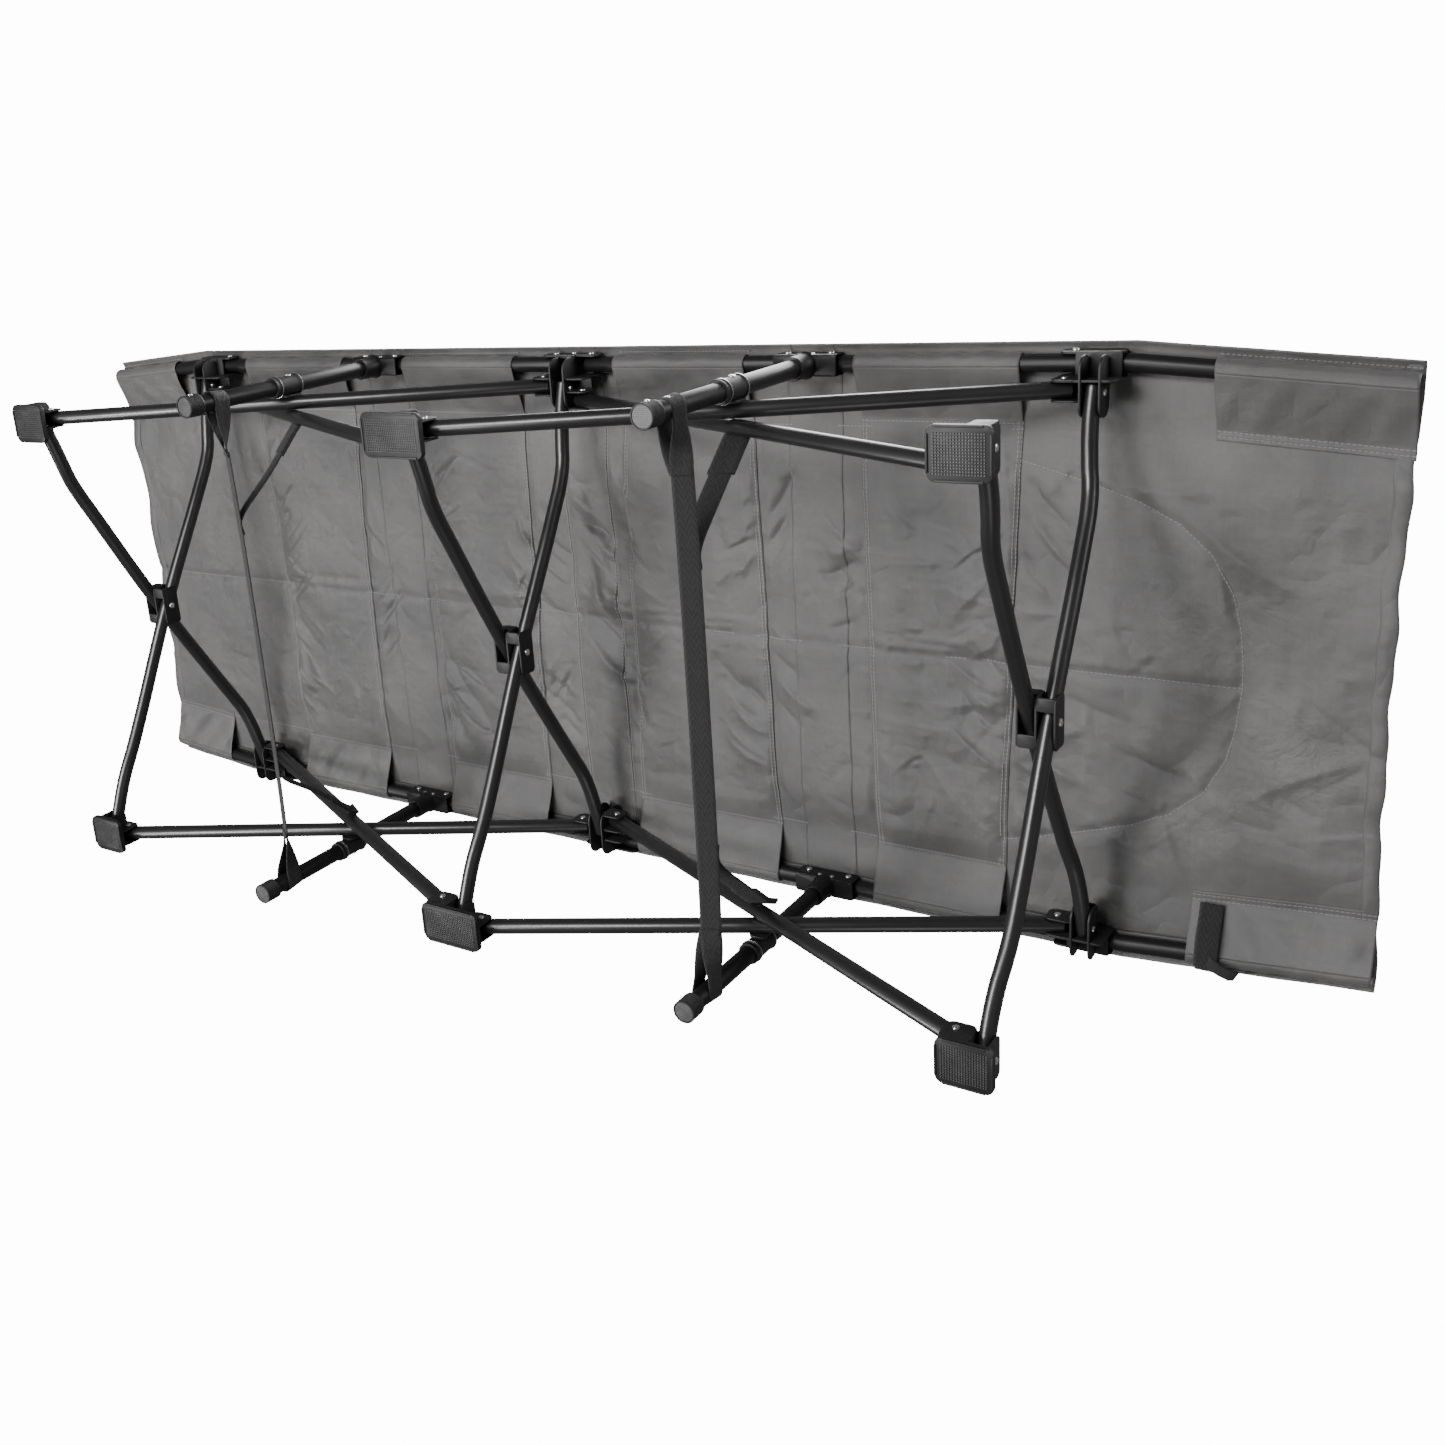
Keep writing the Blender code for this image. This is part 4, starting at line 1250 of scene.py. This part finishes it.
def build_end_hems(drape, pitch):
    """A rolled hem along the deck's foot and head edges."""
    for end, sign in (("foot", -1), ("head", 1)):
        def place(u, v, sign=sign, end=end):
            y = (2 * u - 1) * (OUTER_EDGE - 0.004 - float(pulled_in(END_X[end])))
            angle = v * 2 * math.pi
            flat = 0.0085 * np.cos(angle)
            x = END_X[end] - sign * 0.0085 + flat
            lift = 0.0019 * np.sin(angle)
            wave = 0.0010 * np.sin(y * 60 + 2) * np.sin(y * 23)
            edge = drape(np.full_like(y, END_X[end] - sign * 0.006), y)
            x = x - pulled_short(np.full_like(y, END_X[end]), y)
            return x + wave * np.clip(np.cos(angle) * sign, 0, 1), y, (
                DECK_Z + CLOTH * 0.5 + edge + lift)
        hem = gridded(f"deck_hem_{end}", steps(2 * OUTER_EDGE, pitch), 16, place,
                      f"rail_{end}_right", squash=True, thickness=0.0)
        bm = bmesh.new()
        bm.from_mesh(hem.data)
        bmesh.ops.remove_doubles(bm, verts=bm.verts, dist=1e-5)
        bmesh.ops.holes_fill(bm, edges=bm.edges, sides=0)
        bmesh.ops.recalc_face_normals(bm, faces=bm.faces)
        bm.to_mesh(hem.data)
        bm.free()


# ---- webbing ---------------------------------------------------------------------------
def ribbon(name, points, across, width, body, squash=False, thickness=0.0015):
    """Flat webbing along points; across is its width direction, one or for each."""
    points = np.asarray(points, float)
    across = np.broadcast_to(np.asarray(across, float), points.shape)
    across = across / np.linalg.norm(across, axis=1)[:, None]
    run = np.concatenate([[0], np.cumsum(np.linalg.norm(np.diff(points, axis=0), axis=1))])

    def place(u, v):
        at = v * run[-1]
        centre = [np.interp(at, run, points[:, i]) for i in range(3)]
        wide = np.stack([np.interp(at, run, across[:, i]) for i in range(3)])
        wide = wide / np.linalg.norm(wide, axis=0)
        return [c + (u - 0.5) * width * w for c, w in zip(centre, wide)]

    return gridded(name, 6, steps(run[-1], 0.003), place, body, squash=squash,
                   thickness=thickness, offset=0.0, uv=lambda u, v: (u, v * run[-1]),
                   look="black_polypropylene_webbing")


def smooth_path(points, count=40):
    """A smooth line through a few points (Catmull-Rom)."""
    points = np.asarray(points, float)
    padded = np.vstack([2 * points[0] - points[1], points, 2 * points[-1] - points[-2]])
    out = []
    for i in range(1, len(padded) - 2):
        p0, p1, p2, p3 = padded[i - 1:i + 3]
        for t in np.linspace(0, 1, count, endpoint=False):
            out.append(0.5 * (2 * p1 + (p2 - p0) * t + (2 * p0 - 5 * p1 + 4 * p2 - p3)
                              * t * t + (3 * p1 - p0 - 3 * p2 + p3) * t ** 3))
    out.append(points[-1])
    return np.array(out)


def build_tab():
    """A closing strap, sewn in at the head end's seam and taken round the rail."""
    x, body = 0.784, "rail_head_right"
    inwards = float(pulled_in(x))
    round_rail = smooth_path([
        (x, SEAM_Y + 0.002 - inwards, RAIL_Z + 0.0050), (x, 0.286, RAIL_Z - 0.0040),
        (x, 0.303, RAIL_Z - 0.0125), (x, 0.320, RAIL_Z - 0.0160),
        (x, 0.336, RAIL_Z - 0.0150), (x + 0.001, 0.3435, RAIL_Z - 0.0090),
        (x + 0.002, 0.3460, RAIL_Z + 0.0010)], 6)
    ribbon("webbing_tab", round_rail, (1, 0, 0), 0.025, body, squash=True)
    loop = smooth_path([
        (x + 0.002, 0.326, RAIL_Z - 0.0155), (x + 0.012, 0.333, RAIL_Z - 0.0175),
        (x + 0.024, 0.339, RAIL_Z - 0.0155), (x + 0.031, 0.343, RAIL_Z - 0.0090),
        (x + 0.024, 0.3465, RAIL_Z - 0.0060)], 6)
    ribbon("webbing_tab_loop", loop, (-0.45, 0.9, 0.1), 0.014, body, squash=True,
           thickness=0.0024)


def around_post(x, sign, start, post_z, tilt, upright):
    """Webbing out along one side of a post, round it and back: points and widths."""
    ring = POST_R + 0.0012
    stops = []
    for way, drop in ((1, 0.0), (-1, 0.0017)):
        side = [((x + way * t * ring * 0.95, lerp(0.264, RAIL_Y - 0.004, t),
                  lerp(start - drop, post_z, t)), tilt.lerp(upright, min(1, t * 1.25)))
                for t in np.linspace(0, 1, 9)]
        stops += side[::way]
    turn = [((x + ring * math.cos(angle), RAIL_Y + ring * math.sin(angle), post_z), upright)
            for angle in np.linspace(-0.15, math.pi + 0.15, 15)[1:-1]]
    stops[9:9] = turn
    return [[(a, sign * b, c) for a, b, c in column] for column in zip(*stops)]


def build_straps():
    """A strap from post to post, round each and up to the deck on both sides."""
    fork_y, reach, post_z = 0.182, 0.280, 0.053
    for bay, fork_z, lean in (("foot_bay", 0.062, -31), ("head_bay", 0.073, 20)):
        x, lean = POST_X[bay], math.radians(lean)
        tilt = Vector((math.cos(lean), 0, math.sin(lean)))
        upright = Vector((0.05, 0.10, math.copysign(1.0, lean)))
        main = [(x, y, fork_z - 0.004 * (abs(y) / reach) ** 3) for y in
                np.linspace(-reach + 0.01, reach - 0.01, 40)]
        strap = ribbon(f"webbing_{bay}", main, tilt, 0.025, f"post_{bay}_right",
                       squash=True)
        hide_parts(f"strap_{bay}")
        for side, sign in SIDE.items():
            suffix, body = f"{bay}_{side}", f"post_{bay}_{side}"
            loop, wide = around_post(x, sign, fork_z - 0.004, post_z, tilt, upright)
            ribbon(f"webbing_loop_{suffix}", loop, wide, 0.025, body)
            rise = smooth_path([(x, sign * (fork_y - 0.022), fork_z + 0.0017),
                                (x, sign * (fork_y + 0.003), fork_z + 0.0045),
                                (x, sign * 0.2290, 0.1245), (x, sign * 0.2835, 0.1885),
                                (x, sign * 0.2848, 0.197)], 8)
            ribbon(f"webbing_rise_{suffix}", rise, tilt, 0.025, body)
            doubled = smooth_path([(x, sign * 0.2490, 0.1480), (x, sign * 0.2832, 0.1882),
                                   (x, sign * 0.2843, 0.199)], 8)
            ribbon(f"webbing_doubled_{suffix}", doubled, tilt, 0.030, body,
                   thickness=0.0045)


# ---- stage --------------------------------------------------------------------------------
def aimed(obj, target):
    direction = Vector(target) - obj.location
    obj.rotation_euler = direction.to_track_quat("-Z", "Y").to_euler()


# each light's place, target height, size and power
LIGHTS = {
    "key": ((-1.05, -0.25, -2.75), 0.3, (0.75, 0.75), 70),
    "softbox": ((-0.1, -1.75, -2.5), 0.3, (1.4, 0.8), 80),
    "glance": ((-1.8, 0.8, -2.3), 0.3, (0.6, 0.6), 34),
    "fill": ((2.0, 1.6, -1.6), 0.3, (1.2, 1.2), 8),
    "overhead": ((-0.6, -0.9, 2.6), 0.2, (2.2, 1.6), 130),
    "side": ((2.6, -1.4, 1.2), 0.3, (1.4, 1.4), 45),
}


def area_light(name, place, height, size, power):
    light = bpy.data.lights.new(name, "AREA")
    light.shape = "RECTANGLE"
    light.size, light.size_y = size
    light.energy = power
    obj = bpy.data.objects.new(name, light)
    bpy.context.scene.collection.objects.link(obj)
    obj.location = place
    obj.visible_camera = False
    aimed(obj, (0, 0, height))


def build_stage(colours):
    bm = bmesh.new()
    bmesh.ops.create_grid(bm, x_segments=8, y_segments=8, size=40.0)
    mesh = bpy.data.meshes.new("floor")
    bm.to_mesh(mesh)
    bm.free()
    floor = bpy.data.objects.new("floor", mesh)
    bpy.context.scene.collection.objects.link(floor)
    mesh.transform(Matrix.Translation((0, 0, -0.0006)))
    mesh.materials.append(bpy.data.materials["pale_floor"])

    world = bpy.data.worlds.new("studio")
    bpy.context.scene.world = world
    world.use_nodes = True
    sky = Nodes(world.node_tree)
    seen = sky.node("ShaderNodeLightPath", {}, out="Is Camera Ray")
    sky.link(sky.tree.nodes["Background"].inputs["Color"],
             sky.mix(seen, (0.16, 0.16, 0.165), colours.backdrop))
    for name, light in LIGHTS.items():
        area_light(name, *light)

    camera = bpy.data.cameras.new("camera")
    camera.sensor_width = 36.0
    camera.lens = 38.06
    camera.shift_x = 0.1047
    camera.shift_y = -0.0402
    camera.clip_start = 0.01
    holder = bpy.data.objects.new("camera", camera)
    bpy.context.scene.collection.objects.link(holder)
    right = Vector((0.8132, 0.0843, 0.5758)).normalized()
    up = Vector((-0.1097, -0.9495, 0.2939))
    away = right.cross(up).normalized()
    turn = Matrix((right, away.cross(right), away)).transposed().to_4x4()
    holder.matrix_world = Matrix.Translation((1.149, -0.567, -1.270)) @ turn
    bpy.context.scene.camera = holder


# ---- settings, operators and panel -------------------------------------------------------
class CampBedSizes(bpy.types.PropertyGroup):
    """Sizes a user would change."""
    cloth_pitch: bpy.props.FloatProperty(
        name="Fabric grid", description="Spacing of the fabric's mesh",
        default=0.0030, min=0.001, unit="LENGTH")
    drape_seed: bpy.props.IntProperty(
        name="Crease seed", description="Chooses where the fabric creases", default=11)


class CampBedColours(bpy.types.PropertyGroup):
    """Colours a user would change."""
    cloth: bpy.props.FloatVectorProperty(
        name="Fabric", description="Colour of the deck", subtype="COLOR",
        default=(0.098, 0.096, 0.095), min=0, max=1)
    steel: bpy.props.FloatVectorProperty(
        name="Tubes", description="Colour of the powder coat", subtype="COLOR",
        default=(0.007, 0.007, 0.007), min=0, max=1)
    plastic: bpy.props.FloatVectorProperty(
        name="Fittings", description="Colour of the moulded parts", subtype="COLOR",
        default=(0.009, 0.009, 0.009), min=0, max=1)
    webbing: bpy.props.FloatVectorProperty(
        name="Webbing", description="Colour of the straps", subtype="COLOR",
        default=(0.010, 0.010, 0.010), min=0, max=1)
    rivet: bpy.props.FloatVectorProperty(
        name="Rivets", description="Colour of the rivet heads", subtype="COLOR",
        default=(0.80, 0.80, 0.79), min=0, max=1)
    backdrop: bpy.props.FloatVectorProperty(
        name="Backdrop", description="Colour behind the bed", subtype="COLOR",
        default=(14.0, 14.0, 14.0), min=0)


class CAMPBED_OT_finishes(bpy.types.Operator):
    """Makes the materials"""
    bl_idname = "campbed.finishes"
    bl_label = "Materials"

    def execute(self, context):
        colours = context.scene.camp_bed_colours
        paint_finish("satin_black_paint", colours.steel, 0.25, 0.95)
        paint_finish("matt_black_paint", tuple(0.8 * c for c in colours.steel), 0.36, 0.40)
        plastic_finish("moulded_black_plastic", colours.plastic, 0.38)
        # a pale copy of the black plastic for the grip studs: painted highlight on their tops
        plastic_finish("worn_black_plastic", tuple(9 * c for c in colours.plastic), 0.24)
        rubber_finish(tuple(1.4 * c for c in colours.plastic))
        rivet_finish(colours.rivet)
        cloth_finish(colours.cloth)
        webbing_finish(colours.webbing)
        thread_finish(tuple(2.6 * c for c in colours.cloth))
        floor_finish((0.80, 0.80, 0.79))
        return {"FINISHED"}


class CAMPBED_OT_tubes(bpy.types.Operator):
    """Builds the rails, legs, braces and posts"""
    bl_idname = "campbed.tubes"
    bl_label = "Tubes"

    def execute(self, context):
        build_legs()
        build_braces()
        build_rails_and_posts()
        return {"FINISHED"}


class CAMPBED_OT_fittings(bpy.types.Operator):
    """Builds the brackets, shoes, hubs, hinges, collars and post feet"""
    bl_idname = "campbed.fittings"
    bl_label = "Fittings"

    def execute(self, context):
        ends = {"foot": (1, INNER_BRACE_Y, ((1, OUTER_BRACE_Y),)),
                "head": (-1, OUTER_BRACE_Y, ((-1, INNER_BRACE_Y),))}
        both = ((-1, INNER_BRACE_Y), (1, OUTER_BRACE_Y))
        for side, sign in SIDE.items():
            build_middle_bracket(side, sign)
            build_shoe("middle", both, 0.0, 0.044, side, sign)
            for place, (towards, high_y, low) in ends.items():
                build_end_bracket(place, towards, high_y, side, sign)
                build_shoe(place, low, towards * 0.012, 0.031, side, sign)
            for bay in POST_X:
                build_hinge(bay, side, sign)
                build_collar(bay, side, sign)
                build_cap(bay, side, sign)
        for place in STATION:
            build_hub(place)
        return {"FINISHED"}


class CAMPBED_OT_deck(bpy.types.Operator):
    """Builds the fabric deck, its sleeves, its padded layer and its stitching"""
    bl_idname = "campbed.deck"
    bl_label = "Deck"

    def execute(self, context):
        sizes = context.scene.camp_bed_sizes
        drape = Drape(sizes.drape_seed)
        pitch = sizes.cloth_pitch * 1.0
        build_panels(drape, pitch)
        build_edges(pitch)
        build_sleeves(drape, pitch)
        build_lay(drape, pitch)
        build_end_hems(drape, pitch)
        build_stitches(drape)
        return {"FINISHED"}


class CAMPBED_OT_straps(bpy.types.Operator):
    """Builds the webbing between the posts"""
    bl_idname = "campbed.straps"
    bl_label = "Straps"

    def execute(self, context):
        build_straps()
        build_tab()
        return {"FINISHED"}


class CAMPBED_OT_stage(bpy.types.Operator):
    """Builds the floor, the lights and the camera"""
    bl_idname = "campbed.stage"
    bl_label = "Stage"

    def execute(self, context):
        build_stage(context.scene.camp_bed_colours)
        return {"FINISHED"}


OPERATORS = (CAMPBED_OT_finishes, CAMPBED_OT_tubes, CAMPBED_OT_fittings,
             CAMPBED_OT_deck, CAMPBED_OT_straps, CAMPBED_OT_stage)


class CAMPBED_PT_panel(bpy.types.Panel):
    """Lists the camp bed's operators and settings"""
    bl_label = "Camp Bed"
    bl_space_type = "VIEW_3D"
    bl_region_type = "UI"
    bl_category = "Camp Bed"

    def draw(self, context):
        for group in (context.scene.camp_bed_sizes, context.scene.camp_bed_colours):
            for name in group.__annotations__:
                self.layout.prop(group, name)
        for operator in OPERATORS:
            self.layout.operator(operator.bl_idname)


CLASSES = (CampBedSizes, CampBedColours, *OPERATORS, CAMPBED_PT_panel)


def register():
    for cls in CLASSES:
        bpy.utils.register_class(cls)
    bpy.types.Scene.camp_bed_sizes = bpy.props.PointerProperty(type=CampBedSizes)
    bpy.types.Scene.camp_bed_colours = bpy.props.PointerProperty(type=CampBedColours)


def unregister():
    del bpy.types.Scene.camp_bed_colours
    del bpy.types.Scene.camp_bed_sizes
    for cls in reversed(CLASSES):
        bpy.utils.unregister_class(cls)


def main():
    register()
    for operator in OPERATORS:
        group, name = operator.bl_idname.split(".")
        getattr(getattr(bpy.ops, group), name)()
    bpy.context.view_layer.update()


if __name__ == "__main__":
    main()
